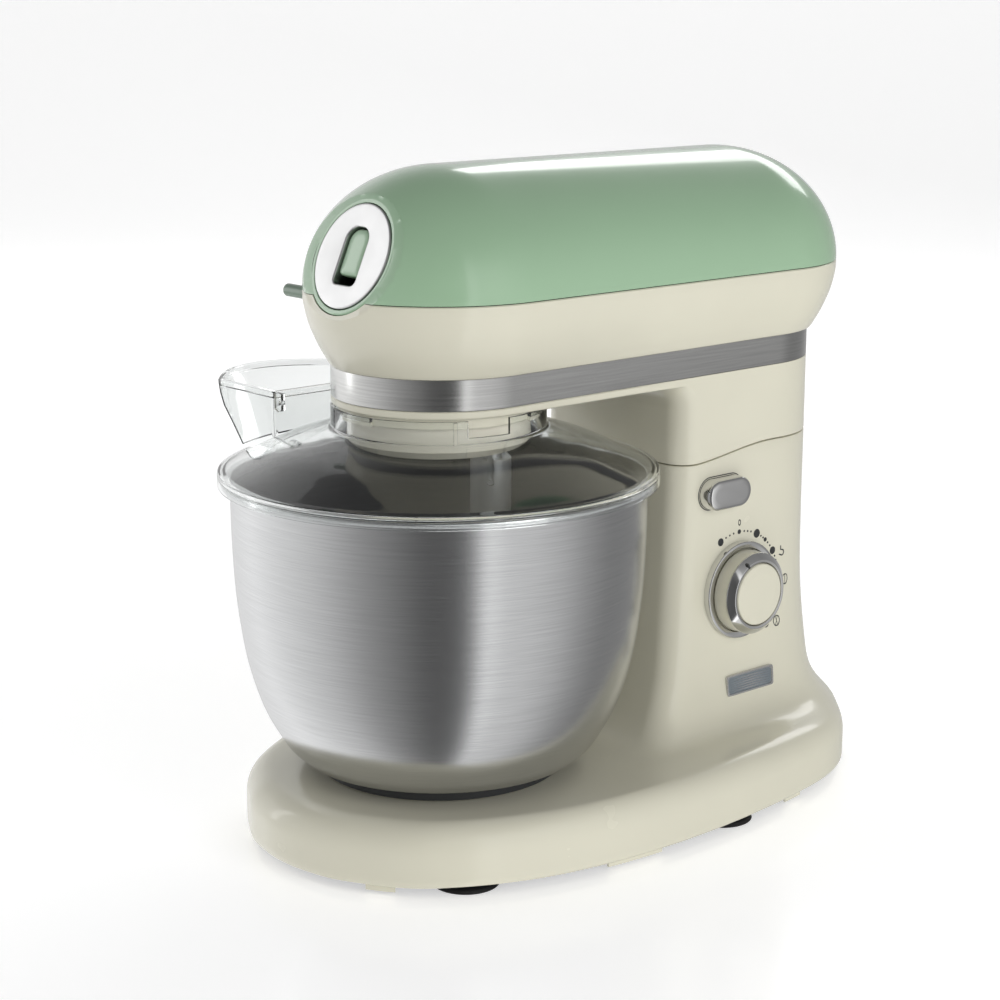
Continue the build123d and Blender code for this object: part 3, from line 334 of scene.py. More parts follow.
CREAM = moulded("cream_plastic", colour(226, 223, 204))
GREEN = moulded("green_plastic", colour(160, 193, 160), roughness=0.22, coat=0.6)
CHROME = polished("chrome_plate", (0.70, 0.70, 0.695, 1))
BAND_STEEL = brushed_long("brushed_band", (0.56, 0.56, 0.55, 1), 0.24, (0.02, 0.02, 1))
BOWL_STEEL = brushed_round("brushed_bowl", (0.60, 0.605, 0.61, 1), 0.23, 0.5, 0.05)
# A darker copy of the bowl's steel for its inside and floor: painted shade inside the bowl.
BOWL_PAINTED_SHADE = brushed_round("bowl_inside_painted_shade", (0.20, 0.20, 0.21, 1), 0.34, 0.4, 0.05)
SATIN = polished("satin_chrome", (0.56, 0.56, 0.56, 1), 0.30)
PEG_GREEN = moulded("peg_green", colour(104, 128, 108), roughness=0.3, coat=0.4)
BADGE_FIELD = matt("badge_field", colour(122, 131, 138), 0.4, 0.1)
BADGE_METAL = brushed_long("badge_metal", (0.62, 0.62, 0.62, 1), 0.22, (1, 0.03, 1))
CLEAR = clear("clear_plastic", (0.86, 0.875, 0.87, 1))
RUBBER = matt("black_rubber", colour(30, 30, 31), 0.55)
BELT = matt("belt_rubber", colour(42, 42, 44), 0.7, 0.5, 700)
DARK = matt("dark_plastic", colour(58, 60, 62), 0.42, 0.12)
PRINT = matt("printed_ink", colour(52, 54, 55), 0.38, 0.05)
STEEL = machined("bright_steel", (0.62, 0.62, 0.61, 1), 0.25)
GEARS = machined("gear_steel", (0.42, 0.42, 0.42, 1), 0.36)
CASTING = cast("cast_aluminium", (0.60, 0.61, 0.62, 1))
IRON = laminated("motor_iron", (0.26, 0.26, 0.27, 1))
COPPER = wound("copper_wire", (0.72, 0.32, 0.14, 1))
CARBON = matt("carbon", colour(38, 37, 37), 0.5, 0.5, 900)
BOARD = board("circuit_board", colour(36, 92, 58))

NODE_FINISH = {
    "cream_plastic": CREAM, "green_plastic": GREEN, "chrome_plate": CHROME,
    "brushed_band": BAND_STEEL, "brushed_bowl": BOWL_STEEL, "badge_metal": BADGE_METAL,
    "clear_plastic": CLEAR, "black_rubber": RUBBER, "dark_plastic": DARK, "belt_rubber": BELT,
    "bright_steel": STEEL, "cast_aluminium": CASTING, "gear_steel": GEARS, "motor_iron": IRON,
    "copper": COPPER, "carbon": CARBON, "circuit_board": BOARD,
}


def finish_nodes():
    """Gives every CAD node its procedural material, by the record's own slots."""
    for row in frame["record"]["materials"]:
        for name in row.get("nodes", []):
            data = frame["nodes"][name].data
            data.materials.clear()
            data.materials.append(NODE_FINISH[row["slot"]])


# ---------------------------------------------------------------- mesh making
def make_piece(name, part, material, body, replaces=(), sharp=35.0):
    """Makes a mesh from (points, faces) in millimetres and puts it on a CAD body."""
    verts, faces = part
    mesh = bpy.data.meshes.new(name)
    mesh.from_pydata([Vector(v) * MM for v in verts], [], faces)
    piece = bpy.data.objects.new(name, mesh)
    bpy.context.scene.collection.objects.link(piece)
    mend(mesh, sharp)
    mesh.materials.append(material)
    if body:
        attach(piece, body)
    if replaces:
        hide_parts(*replaces)
    return piece


def mend(mesh, sharp):
    """Joins doubled points, drops flat faces, turns the faces outward and shades them smooth."""
    work = bmesh.new()
    work.from_mesh(mesh)
    bmesh.ops.remove_doubles(work, verts=work.verts, dist=1e-6)
    bmesh.ops.dissolve_degenerate(work, edges=work.edges, dist=1e-7)
    bmesh.ops.recalc_face_normals(work, faces=work.faces)
    work.to_mesh(mesh)
    work.free()
    mesh.shade_smooth()
    mesh.set_sharp_from_angle(angle=radians(sharp))


def skin(rings, wrap=False, caps=True):
    """Points and faces through rings of equally many points."""
    count = len(rings[0])
    verts = [point for ring in rings for point in ring]
    faces = []
    for row in range(len(rings) if wrap else len(rings) - 1):
        after = (row + 1) % len(rings)
        for column in range(count):
            beside = (column + 1) % count
            faces.append((row * count + column, row * count + beside,
                          after * count + beside, after * count + column))
    if caps and not wrap:
        faces.append(tuple(range(count)))
        faces.append(tuple((len(rings) - 1) * count + i for i in range(count)))
    return verts, faces


def joined(*parts):
    """Several (points, faces) pairs as one."""
    verts, faces = [], []
    for more_verts, more_faces in parts:
        start = len(verts)
        verts += more_verts
        faces += [tuple(start + i for i in face) for face in more_faces]
    return verts, faces


def placed(part, matrix):
    """A (points, faces) pair moved by a matrix in millimetres."""
    verts, faces = part
    return [matrix @ Vector(v) for v in verts], faces


def arc(middle, radius, start, end, count):
    """Points on an arc, with angles in degrees."""
    steps = [radians(start + (end - start) * i / (count - 1)) for i in range(count)]
    return [(middle[0] + radius * cos(a), middle[1] + radius * sin(a)) for a in steps]


def rounded(corners, count=6, close=True):
    """An outline with each (x, y, radius) corner rounded."""
    outline = []
    total = len(corners)
    for index, (x, y, radius) in enumerate(corners):
        ends = not close and index in (0, total - 1)
        if radius <= 0 or ends:
            outline.append((x, y))
            continue
        here = Vector((x, y))
        back = Vector(corners[index - 1][:2]) - here
        ahead = Vector(corners[(index + 1) % total][:2]) - here
        turn = back.angle(ahead)
        run = min(radius / np.tan(turn / 2), back.length * 0.499, ahead.length * 0.499)
        start, end = here + back.normalized() * run, here + ahead.normalized() * run
        for step in range(count + 1):
            t = step / count
            point = start * (1 - t) ** 2 + here * 2 * t * (1 - t) + end * t ** 2
            outline.append((point.x, point.y))
    return outline


def lathe(outline, steps=160, close=True, middle=(0.0, 0.0)):
    """Turns (radius, height) points round the Z axis."""
    angles = [2 * pi * i / steps for i in range(steps)]
    rings = [[(middle[0] + r * cos(a), middle[1] + r * sin(a), z) for a in angles]
             for r, z in outline]
    return skin(rings, wrap=close, caps=False)


def rod(radius, low, high, steps):
    """A solid cylinder round the Z axis."""
    return lathe([(0, low), (radius, low), (radius, high), (0, high)], steps, close=False)


def lug(turn, outer, inner, half, low, high):
    """A flat lug between two radii and two heights, half degrees to each side of its middle."""
    sweep = range(-half, half + 1, 2)
    outline = [(r * cos(radians(turn + a)), r * sin(radians(turn + a)))
               for r, angles in ((outer, sweep), (inner, sweep[::-1])) for a in angles]
    return skin([ring_at(outline, low), ring_at(outline, high)])


def smooth_line(points, steps=12):
    """A Catmull-Rom curve through points, with both ends kept."""
    points = [np.array(p, float) for p in points]
    ends = [2 * points[0] - points[1], *points, 2 * points[-1] - points[-2]]
    line = []
    for index in range(1, len(ends) - 2):
        a, b, c, d = ends[index - 1:index + 3]
        for step in range(steps):
            t = step / steps
            line.append(0.5 * (2 * b + (c - a) * t + (2 * a - 5 * b + 4 * c - d) * t * t
                               + (3 * b - a - 3 * c + d) * t ** 3))
    line.append(points[-1])
    return [tuple(float(v) for v in p) for p in line]


def mirrored(half):
    """A closed ring from its +X half, whose ends lie on x = 0."""
    return half + [(-p[0],) + tuple(p[1:]) for p in reversed(half[1:-1])]


def ring_at(outline, height):
    return [(x, y, height) for x, y in outline]


def plate(outline, low, high, edge=0.4, steps=3):
    """A flat plate from an outline, with rounded edges top and bottom."""
    mid_x, mid_y = (sum(p[k] for p in outline) / len(outline) for k in (0, 1))
    reach = max(hypot(x - mid_x, y - mid_y) for x, y in outline)
    rings = []
    for level, sign, turns in ((low, 1, range(steps + 1)), (high, -1, range(steps, -1, -1))):
        for step in turns:
            angle = pi / 2 * step / steps
            size = 1 - edge * (1 - sin(angle)) / reach
            height = level + sign * edge * (1 - cos(angle))
            rings.append([(mid_x + (x - mid_x) * size, mid_y + (y - mid_y) * size, height)
                          for x, y in outline])
    return skin(rings)


def take_away(piece, part, operation="DIFFERENCE"):
    """Cuts a (points, faces) solid out of a piece, or adds it."""
    verts, faces = part
    mesh = bpy.data.meshes.new("tool")
    mesh.from_pydata([Vector(v) * MM for v in verts], [], faces)
    mend(mesh, 30)
    tool = bpy.data.objects.new("tool", mesh)
    bpy.context.scene.collection.objects.link(tool)
    cut = piece.modifiers.new("cut", "BOOLEAN")
    cut.operation, cut.object, cut.solver = operation, tool, "EXACT"
    settle(piece)
    bpy.data.objects.remove(tool)


def settle(piece, sharp=35.0):
    """Applies a piece's modifiers to its mesh."""
    bpy.context.view_layer.update()
    graph = bpy.context.evaluated_depsgraph_get()
    mesh = bpy.data.meshes.new_from_object(piece.evaluated_get(graph))
    materials = list(piece.data.materials)
    piece.modifiers.clear()
    piece.data = mesh
    mesh.materials.clear()
    for material in materials:
        mesh.materials.append(material)
    mend(mesh, sharp)


def block(low, high):
    """A box between two corners, for cutting."""
    xs, ys, zs = zip(low, high)
    rings = [[(xs[0], ys[0], z), (xs[1], ys[0], z), (xs[1], ys[1], z), (xs[0], ys[1], z)]
             for z in zs]
    return skin(rings)


# ---------------------------------------------------------------- head shells
def loaf_ring(radius, front, rear, height, around=40, along=26):
    """A stadium seen from above, from the middle of the rear round the +X side."""
    half = arc((0, rear), radius, 90, 0, around)
    half += [(radius, rear + (front - rear) * i / along) for i in range(1, along)]
    half += arc((0, front), radius, 0, -90, around)
    return ring_at(mirrored(half), height)


def shell_ring(radius, height):
    return loaf_ring(radius, SHELL_FRONT_Y, SHELL_REAR_Y, height)


def green_rings():
    """Down the inside from the ridge, round the seam's edge and up the outside again."""
    height = ROOF_Z - SEAM_Z
    rings = []
    for step in range(36, -1, -1):
        angle = pi / 2 * step / 36
        reach = max((SHELL_R - WALL) * cos(angle), 0.0)
        rings.append(shell_ring(reach, SEAM_Z + 0.6 + (height - WALL - 0.6) * sin(angle)))
    rings += [shell_ring(SHELL_R - inset, SEAM_Z + lift)
              for inset, lift in ((WALL, 0.05), (0.5, 0.05), (0.15, 0.2))]
    for step in range(0, 45):
        angle = pi / 2 * step / 44
        reach = max(SHELL_R * cos(angle), 0.0)
        rings.append(shell_ring(reach, SEAM_Z + 0.55 + (height - 0.55) * sin(angle)))
    return rings


def nose_matrix():
    """From the nose cover's own plane, with Z out of its face, to the row frame."""
    across, out = Vector((1, 0, 0)), Vector((0, -cos(NOSE_TILT), sin(NOSE_TILT)))
    up = out.cross(across)
    turned = Matrix((across, up, out)).transposed().to_4x4()
    turned.translation = Vector(NOSE_ORIGIN)
    return turned


def nose_part(part):
    return placed(part, nose_matrix())


def green_shell():
    """The green upper shell with the lip round the nose cover and the peg's hole."""
    shell = make_piece("green_shell", skin(green_rings(), caps=False), GREEN, None)
    take_away(shell, nose_part(rod(60, 0, 60, 96)))
    lip = rounded([(DISC_R + 0.5, -8, 0), (DISC_R + 0.5, 0.06, 0.5), (LIP_R, 0.06, 0.9),
                   (LIP_R, -13, 0)])
    boss = lip + [(17.0, -13), (17.0, -8)]
    take_away(shell, nose_part(lathe(boss, 160)), "UNION")
    take_away(shell, nose_part(rod(DISC_R + 0.5, -8, 8, 160)))
    take_away(shell, placed(rod(3.9, 0, 60, 48), peg_matrix(-90)))
    mend(shell.data, 32)
    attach(shell, "head")
    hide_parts("head_upper_shell")


def peg_matrix(x):
    """Turns +Z to +X and moves to the peg's line."""
    place = Matrix.Translation((x, *side_middle(peg_low, peg_high)))
    return place @ Matrix.Rotation(pi / 2, 4, "Y")


def cream_tub():
    """The lower half of the head, drawn in towards the band."""
    side = smooth_line([(SHELL_R, SEAM_Z - 0.9), (SHELL_R - 0.35, 292.5), (SHELL_R - 2.9, 281.5),
                        (SHELL_R - 8.0, 269.5), (BAND_R + 1.6, 261.2)], 8)
    foot = rounded([(BAND_R + 1.6, 261.2, 0), (BAND_R + 0.6, 259.85, 0.8), (BAND_R - 8, 259.85, 0)],
                   close=False)
    line = [(SHELL_R - WALL, SEAM_Z - 0.35), (SHELL_R - 0.6, SEAM_Z - 0.35), *side, *foot[1:],
            (20, 259.85)]
    rings = [shell_ring(r, z) for r, z in line]
    inner = [(20, 262.85), (BAND_R - 3, 262.85), (SHELL_R - 11, 270.5), (SHELL_R - 6.4, 281.5),
             (SHELL_R - WALL, 293)]
    rings += [shell_ring(r, z) for r, z in inner]
    tub = make_piece("cream_tub", skin(rings, wrap=True, caps=False), CREAM, None)
    take_away(tub, nose_part(rod(60, 0, 60, 96)))
    take_away(tub, nose_part(rod(LIP_R + 0.4, -16, 8, 128)))
    take_away(tub, placed(rod(6.4, 0, 60, 48), peg_matrix(-90)))
    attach(tub, "head")
    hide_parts("head_lower_shell")


def steel_band():
    """The steel strip round the head, with a rolled edge."""
    bottom, top = band_low.z, band_high.z
    line = rounded([(BAND_R, bottom, 0.35), (BAND_R, top, 0.35), (BAND_R - 1, top, 0.2),
                    (BAND_R - 1, bottom, 0.2)], 3)
    rings = [loaf_ring(r, BAND_FRONT_Y, BAND_REAR_Y, z, 48, 24) for r, z in line]
    make_piece("steel_band", skin(rings, wrap=True), BAND_STEEL, "head",
               ["steel_band"])


def seam_bead():
    """The dark gasket line between the two shells."""
    line = [(SHELL_R - 2.6, SEAM_Z - 0.8), (SHELL_R - 1.1, SEAM_Z - 0.8),
            (SHELL_R - 1.1, SEAM_Z + 0.4), (SHELL_R - 2.6, SEAM_Z + 0.4)]
    rings = [shell_ring(r, z) for r, z in line]
    bead = make_piece("seam_gasket", skin(rings, wrap=True), RUBBER, None)
    take_away(bead, nose_part(rod(60, -3, 60, 96)))
    take_away(bead, nose_part(rod(LIP_R + 1, -20, 8, 96)))
    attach(bead, "head")


# ---------------------------------------------------------------- nose
def round_box(width, height, radius, count):
    """A rounded rectangle with its points spread by angle, from +X anticlockwise."""
    outline = []
    for index in range(count):
        angle = 2 * pi * index / count
        dx, dy = cos(angle), sin(angle)
        low, high = 0.0, hypot(width, height)
        for _ in range(40):
            reach = (low + high) / 2
            qx = abs(dx * reach) - (width / 2 - radius)
            qy = abs(dy * reach) - (height / 2 - radius)
            outside = hypot(max(qx, 0), max(qy, 0)) + min(max(qx, qy), 0) - radius
            low, high = (reach, high) if outside < 0 else (low, reach)
        outline.append((dx * low, dy * low))
    return outline


def box_rings(width, height, radius, levels, count, fall=1.0):
    """Rounded rectangles at (inset, level) pairs. The radius loses fall times the inset."""
    return [ring_at(round_box(width - 2 * inset, height - 2 * inset, radius - inset * fall, count),
                    level) for inset, level in levels]


def circle(radius, count):
    return [(radius * cos(2 * pi * i / count), radius * sin(2 * pi * i / count))
            for i in range(count)]


def arch(width, height, top_r, foot_r, inset, count):
    """An outline that is well rounded at the top, with small corners at the foot."""
    width, height = width - 2 * inset, height - 2 * inset
    top = round_box(width, height, max(top_r - inset, 1.5), count)
    foot = round_box(width, height, max(foot_r - inset, 0.8), count)
    return top[:count // 2 + 1] + foot[count // 2 + 1:]


def nose_cover():
    """The chrome disc with its rounded window and the cup behind it."""
    count = 160
    rings = [ring_at(circle(DISC_R - inset, count), z) for inset, z in (
        (0, -2.5), (0, 0.05), (0.12, 0.35), (0.45, 0.55), (0.9, 0.6), (1.4, 0.6))]
    rings += [ring_at(arch(18.0, 31.0, 7.5, 3.4, inset, count), z) for inset, z in (
        (-1.0, 0.6), (-0.45, 0.55), (-0.25, 0.42), (-0.08, 0.15), (0.0, -0.3), (0.0, -2.6),
        (0.4, -8.5), (0.4, -11))]
    rings += [ring_at(circle(16.5, count), z) for z in (-11, -2.5)]
    make_piece("nose_cover", nose_part(skin(rings, wrap=True)), SATIN, "head",
               ["nose_cover"], 40)


def cover_latch():
    """The green slider that shows in the window."""
    rings = []
    for inset, z in ((0.6, -6.5), (0, -5.9), (0, -2.4), (0.25, -1.7), (0.8, -1.2), (1.8, -0.95),
                     (4.5, -0.9)):
        rings.append([(x, y + 2.4, z) for x, y in arch(17.0, 25.0, 7.0, 2.6, inset, 96)])
    make_piece("cover_latch", nose_part(skin(rings)), GREEN, "nose_latch",
               ["cover_latch"])


def hub_lock_pin():
    """The green peg with its rounded end, which is grey on the real peg but green here."""
    length = peg_high.x - peg_low.x
    line = [(0, 0), *rounded([(2.9, 0, 0), (3.5, 0.5, 0.5), (3.5, 3.0, 0)], close=False),
            (3.5, length - 3.4), (4.8, length - 3.4), (4.8, length - 1.4), (3.5, length - 1.4),
            (3.5, length), (0, length)]
    make_piece("hub_lock_pin", placed(lathe(line, 64, close=False), peg_matrix(peg_low.x)),
               PEG_GREEN, "side_pin", ["hub_lock_pin"])


# ---------------------------------------------------------------- column, neck and base
COLUMN_STEPS = (26, 20, 16, 34)     # round back, side, corner, front


def column_size(height):
    """Half width and front face of the column at a height."""
    table = np.array(COLUMN, float)
    rows = table[:, 0]
    index = int(np.clip(np.searchsorted(rows, height) - 1, 0, len(rows) - 2))
    span = rows[index + 1] - rows[index]
    t = np.clip((height - rows[index]) / span, 0, 1)

    def slope(at):
        low, high = max(at - 1, 0), min(at + 1, len(rows) - 1)
        return (table[high] - table[low]) / (rows[high] - rows[low])

    a, b, ga, gb = table[index], table[index + 1], slope(index) * span, slope(index + 1) * span
    value = ((2 * t ** 3 - 3 * t ** 2 + 1) * a + (t ** 3 - 2 * t ** 2 + t) * ga
             + (3 * t ** 2 - 2 * t ** 3) * b + (t ** 3 - t ** 2) * gb)
    return float(value[1]), float(value[2])


def column_half(half, front):
    """The +X half of the column's plan, from the middle of its back to the middle of its front."""
    back, side, corner, face = COLUMN_STEPS
    outline = arc((0, COLUMN_REAR_Y), half, 90, 0, back)
    start, end = COLUMN_REAR_Y, front + CORNER_R
    outline += [(half, start + (end - start) * i / side) for i in range(1, side)]
    outline += arc((half - CORNER_R, front + CORNER_R), CORNER_R, 0, -90, corner)
    reach = half - CORNER_R
    return outline + [(reach * (1 - i / face), front) for i in range(1, face + 1)]


def ease(value):
    value = min(max(value, 0.0), 1.0)
    return value * value * (3 - 2 * value)


def split_z(y):
    """Height of the line where the neck parts from the column."""
    return 193.0 + 6.6 * ease((y - 130) / 68) - 0.8 * ease((y - 200) / 40)


def base_outline():
    """The base's plan as a dense closed line of (x, y)."""
    right = smooth_line([(-BASE_SIDE[1][0], BASE_SIDE[1][1]), *BASE_SIDE,
                         (-BASE_SIDE[-2][0], BASE_SIDE[-2][1])], 24)
    right = [p for p in right if p[0] >= -1e-6]
    widest = max(p[0] for p in right)
    return [(x * min(1.0, 118.0 / widest), y) for x, y in right]


def base_reach(directions):
    """Distance from the column's axis to the base's edge in each direction (dx, dy)."""
    points = np.array(base_outline())
    angles = np.arctan2(points[:, 0], -(points[:, 1] - COLUMN_REAR_Y))
    order = np.argsort(angles)
    lengths = np.hypot(points[:, 0], points[:, 1] - COLUMN_REAR_Y)
    wanted = [atan2(abs(dx), -dy) for dx, dy in directions]
    return np.interp(wanted, angles[order], lengths[order])


def rib(column_line, reach):
    """One rib in (distance, height): down the column, out over the base and under its edge."""
    turn_in = reach - EDGE_R
    edge = [(turn_in + EDGE_R * sin(a), BASE_TOP_Z - EDGE_R + EDGE_R * cos(a))
            for a in np.linspace(0, pi / 2, 14)]
    edge += [(reach, 20.0), (reach, 14.0), (reach, 8.6)]
    edge += [(reach - LOWER_R + LOWER_R * cos(a), BASE_BOTTOM_Z + LOWER_R - LOWER_R * sin(a))
             for a in np.linspace(0, pi / 2, 6)[1:]]
    start = next((i for i, (d, z) in enumerate(column_line)
                  if z <= BASE_TOP_Z or d >= reach), len(column_line) - 1)
    upper, foot = column_line[:start], column_line[start][0]
    if foot < turn_in:
        flat = [(foot + (turn_in - foot) * t, BASE_TOP_Z) for t in np.linspace(0, 1, 40)]
        return upper + flat + edge[1:]
    return upper + [p for p in edge if p[0] >= foot]


def spread(line, upper_count, lower_count, turn_z):
    """A rib with its crease softened and its points spread evenly over two stretches."""
    line = np.array(line, float)
    steps = np.hypot(*np.diff(line, axis=0).T)
    far = np.concatenate([[0], np.cumsum(steps)])
    fine = np.arange(0, far[-1], 1.0)
    dense = np.stack([np.interp(fine, far, line[:, k]) for k in (0, 1)], axis=1)
    crease = int(np.argmin(np.abs(dense[:, 1] - turn_z)))
    weight = np.exp(-((np.arange(len(dense)) - crease) / 16.0) ** 2)[:, None]
    weight[:2], weight[-12:] = 0, 0
    for _ in range(130):
        middle = dense.copy()
        middle[1:-1] = (dense[:-2] + dense[2:]) / 2
        dense += (middle - dense) * weight
    ends = np.concatenate([dense, [line[-1]]])
    steps = np.concatenate([[0], np.cumsum(np.hypot(*np.diff(ends, axis=0).T))])
    cut = steps[crease]
    at = np.concatenate([np.linspace(0, cut, upper_count, endpoint=False),
                         np.linspace(cut, steps[-1], lower_count)])
    return np.stack([np.interp(at, steps, ends[:, k]) for k in (0, 1)], axis=1)


def inside(line):
    """The inner face of a rib, from the base's edge up to the deck."""
    edge = line[-1]
    way = np.gradient(line, axis=0)
    way /= np.hypot(way[:, 0], way[:, 1])[:, None]
    inner = line + WALL * np.stack([way[:, 1], -way[:, 0]], axis=1)
    far = edge[0] - 1.4
    kept = [(min(p[0], far), p[1]) for p, outer in zip(inner, line) if outer[1] > 15.0]
    return [(far, edge[1]), (far, 9.0), *reversed(kept)]


def stand():
    """Column and base as one skin, hollow inside, with the deck under the neck."""
    heights = np.concatenate([np.linspace(190, 60, 44), np.linspace(57, 30, 16)])
    sections = [column_half(*column_size(h)) for h in heights]
    middle = np.array((0.0, COLUMN_REAR_Y))
    count = len(sections[0])
    foot = [np.array(p) - middle for p in column_half(*column_size(BASE_TOP_Z))]
    reaches = base_reach([tuple(p / np.hypot(*p)) for p in foot])
    halves = []
    for index in range(count):
        column_line, ways = [], []
        for height, section in zip(heights, sections):
            offset = np.array(section[index]) - middle
            column_line.append((float(np.hypot(*offset)), float(height)))
            ways.append(offset / np.hypot(*offset))
        line = spread(rib(column_line, float(reaches[index])), 46, 90, BASE_TOP_Z + 2)
        levels, turned = heights[::-1], np.array(ways[::-1])
        foot_way = foot[index] / np.hypot(*foot[index])
        rows = []
        for far, height in (*line, *inside(line)):
            dx, dy = foot_way if height <= BASE_TOP_Z + 0.5 else (
                np.interp(height, levels, turned[:, 0]), np.interp(height, levels, turned[:, 1]))
            size = hypot(dx, dy)
            rows.append((far * dx / size, COLUMN_REAR_Y + far * dy / size, height))
        halves.append(rows)
    top = column_half(*column_size(193))
    under = [(x * 0.95, NECK_MIDDLE_Y + (y - NECK_MIDDLE_Y) * 0.95) for x, y in top]

    def deck(outline, size, drop):
        shrunk = [(x * size, NECK_MIDDLE_Y + (y - NECK_MIDDLE_Y) * size) for x, y in outline]
        return mirrored([(x, y, split_z(y) - drop) for x, y in shrunk])

    rings = [deck(top, size, 0) for size in (0.02, 0.25, 0.5, 0.75, 0.9, 0.985)]
    rings += [deck(top, 0.995, 0.12), deck(top, 1.0, 0.7)]
    rings += [mirrored([column[row] for column in halves]) for row in range(len(halves[0]))]
    rings += [deck(under, size, WALL) for size in (1.0, 0.9, 0.75, 0.5, 0.25, 0.02)]
    piece = make_piece("stand", skin(rings), CREAM, None)
    take_away(piece, block(*STRIKER_SLOT))
    take_away(piece, block(*COLUMN_HINGE_WELL))
    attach(piece, "stand")
    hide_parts("stand_shell")


def arm_and_neck():
    """The neck over the parting line, the hollow corner and the plate under the head."""
    half_width, front = 58.4, 126.4
    lows = column_half(half_width, 126.0)
    rows = [[(x * s, NECK_MIDDLE_Y + (y - NECK_MIDDLE_Y) * s) for x, y in lows]
            for s in (0.02, 0.3, 0.6, 0.9, 0.985)]
    rings = [mirrored([(x, y, split_z(y) + 0.7) for x, y in row]) for row in rows]
    rings.append(mirrored([(x * 0.995, y, split_z(y) + 0.82) for x, y in lows]))
    for lift in (1.4, 3, 6, 10, 15):
        rings.append(mirrored([(x, y, split_z(y) + lift) for x, y in lows]))
    start = ARM_BOTTOM_Z - ARM_CORNER_R
    for step in range(0, 13):
        angle = pi / 2 * step / 12
        shift = ARM_CORNER_R * (1 - cos(angle))
        rise = start + ARM_CORNER_R * sin(angle)
        rings.append(mirrored([(x, y, rise) for x, y in column_half(half_width, front - shift)]))
    back, side, corner, face = COLUMN_STEPS
    outer = arc((0, BAND_REAR_Y), BAND_R, 90, 0, back)
    turn = front - ARM_CORNER_R + CORNER_R
    outer += [(BAND_R, BAND_REAR_Y + (turn - BAND_REAR_Y) * i / side) for i in range(1, side)]
    outer += [(BAND_R, turn + (BAND_FRONT_Y - turn) * i / (corner - 1)) for i in range(corner)]
    outer += arc((0, BAND_FRONT_Y), BAND_R, 0, -90, face + 1)[1:]
    keep = [ease((i - back - side + 2) / 6) for i in range(len(outer))]

    def edge(inset, height):
        points = []
        for (x, y), k in zip(outer, keep):
            forward = max(BAND_FRONT_Y - y, 0) / BAND_R
            points.append((x - inset * k * sqrt(max(0.0, 1 - forward ** 2)),
                           y + inset * k * forward, height))
        return mirrored(points)

    for inset, lift in ((6, 0), (1.2, 0), (0.72, 0.1), (0.35, 0.35), (0.1, 0.72), (0, 1.2),
                        (0, 3.6)):
        rings.append(edge(inset, ARM_BOTTOM_Z + lift))
    rings.append(edge(0.5, ARM_BOTTOM_Z + 4.15))
    rings.append(edge(4, ARM_BOTTOM_Z + 4.15))
    piece = make_piece("arm_and_neck", skin(rings), CREAM, None)
    take_away(piece, rod(ARM_OPENING_R, 230, 250, 128))
    take_away(piece, relief())
    take_away(piece, block(*NECK_HINGE_WELL))
    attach(piece, "head")
    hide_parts("arm_and_neck")


def relief():
    """The wedge that the neck's heel needs to swing down behind the hinge."""
    line = ((244.4, 196), (300, 196), (300, 246), (244.4, 200.2))
    return skin([[(x, y, z) for y, z in line] for x in (-90, 90)])


def lock_ring():
    """The ring under the arm that the lid twists on to."""
    line = rounded([(53.6, 233.5, 0.5), (53.6, 243, 0), (51.6, 243, 0), (51.6, 233.5, 0.4)], 3)
    lugs = [lug(turn, 55.3, 53.0, 12, 233.5, 235.2) for turn in LID_TURNS]
    make_piece("lock_ring", joined(lathe(line), *lugs), CREAM, "head")


def base_tabs():
    """The small locating tabs that reach below the base's edge."""
    outline = base_outline()
    parts = []
    for low_y, high_y in ((-93, -83), (22, 61), (163, 181)):
        stretch = [p for p in outline if low_y <= p[1] <= high_y]
        for side in (1, -1):
            outer = [(side * (x - 3.4), y + (1.5 if y < -60 else 0)) for x, y in stretch]
            inner = [(side * (x - 5.0), y + (2.8 if y < -60 else 0)) for x, y in reversed(stretch)]
            loop = outer + inner
            parts.append(skin([ring_at(loop, 2.6), ring_at(loop, 10.0)]))
    make_piece("base_tabs", joined(*parts), CREAM, "stand")


def suction_feet():
    """Four rubber cups under the base."""
    line = rounded([(2.2, 1.6, 0), (14, 1.0, 0.3), (14.6, 0, 0.2), (17.6, 0, 0.3), (18, 0.5, 0.2),
                    (16.8, 2.0, 0.8), (13, 4.0, 1.0), (11.5, 5.4, 0.3), (5, 5.4, 0.3),
                    (5, 8.9, 0.3), (2.2, 8.9, 0)], 3)
    make_piece("suction_feet", joined(*(lathe(line, 96, middle=place) for place in FEET)), RUBBER,
               "stand", ["suction_feet"])


# ---------------------------------------------------------------- controls
def side_matrix(x, y, z):
    """Turns +Z to +X, +X to +Y and +Y to +Z, for things on the column's right side."""
    return Matrix(((0, 0, 1, x), (1, 0, 0, y), (0, 1, 0, z), (0, 0, 0, 1)))


def side_x(y, z):
    """Where the column's right side is at a place."""
    half, _ = column_size(z)
    past = max(y - COLUMN_REAR_Y, 0.0)
    return sqrt(max(half * half - past * past, 0.0))


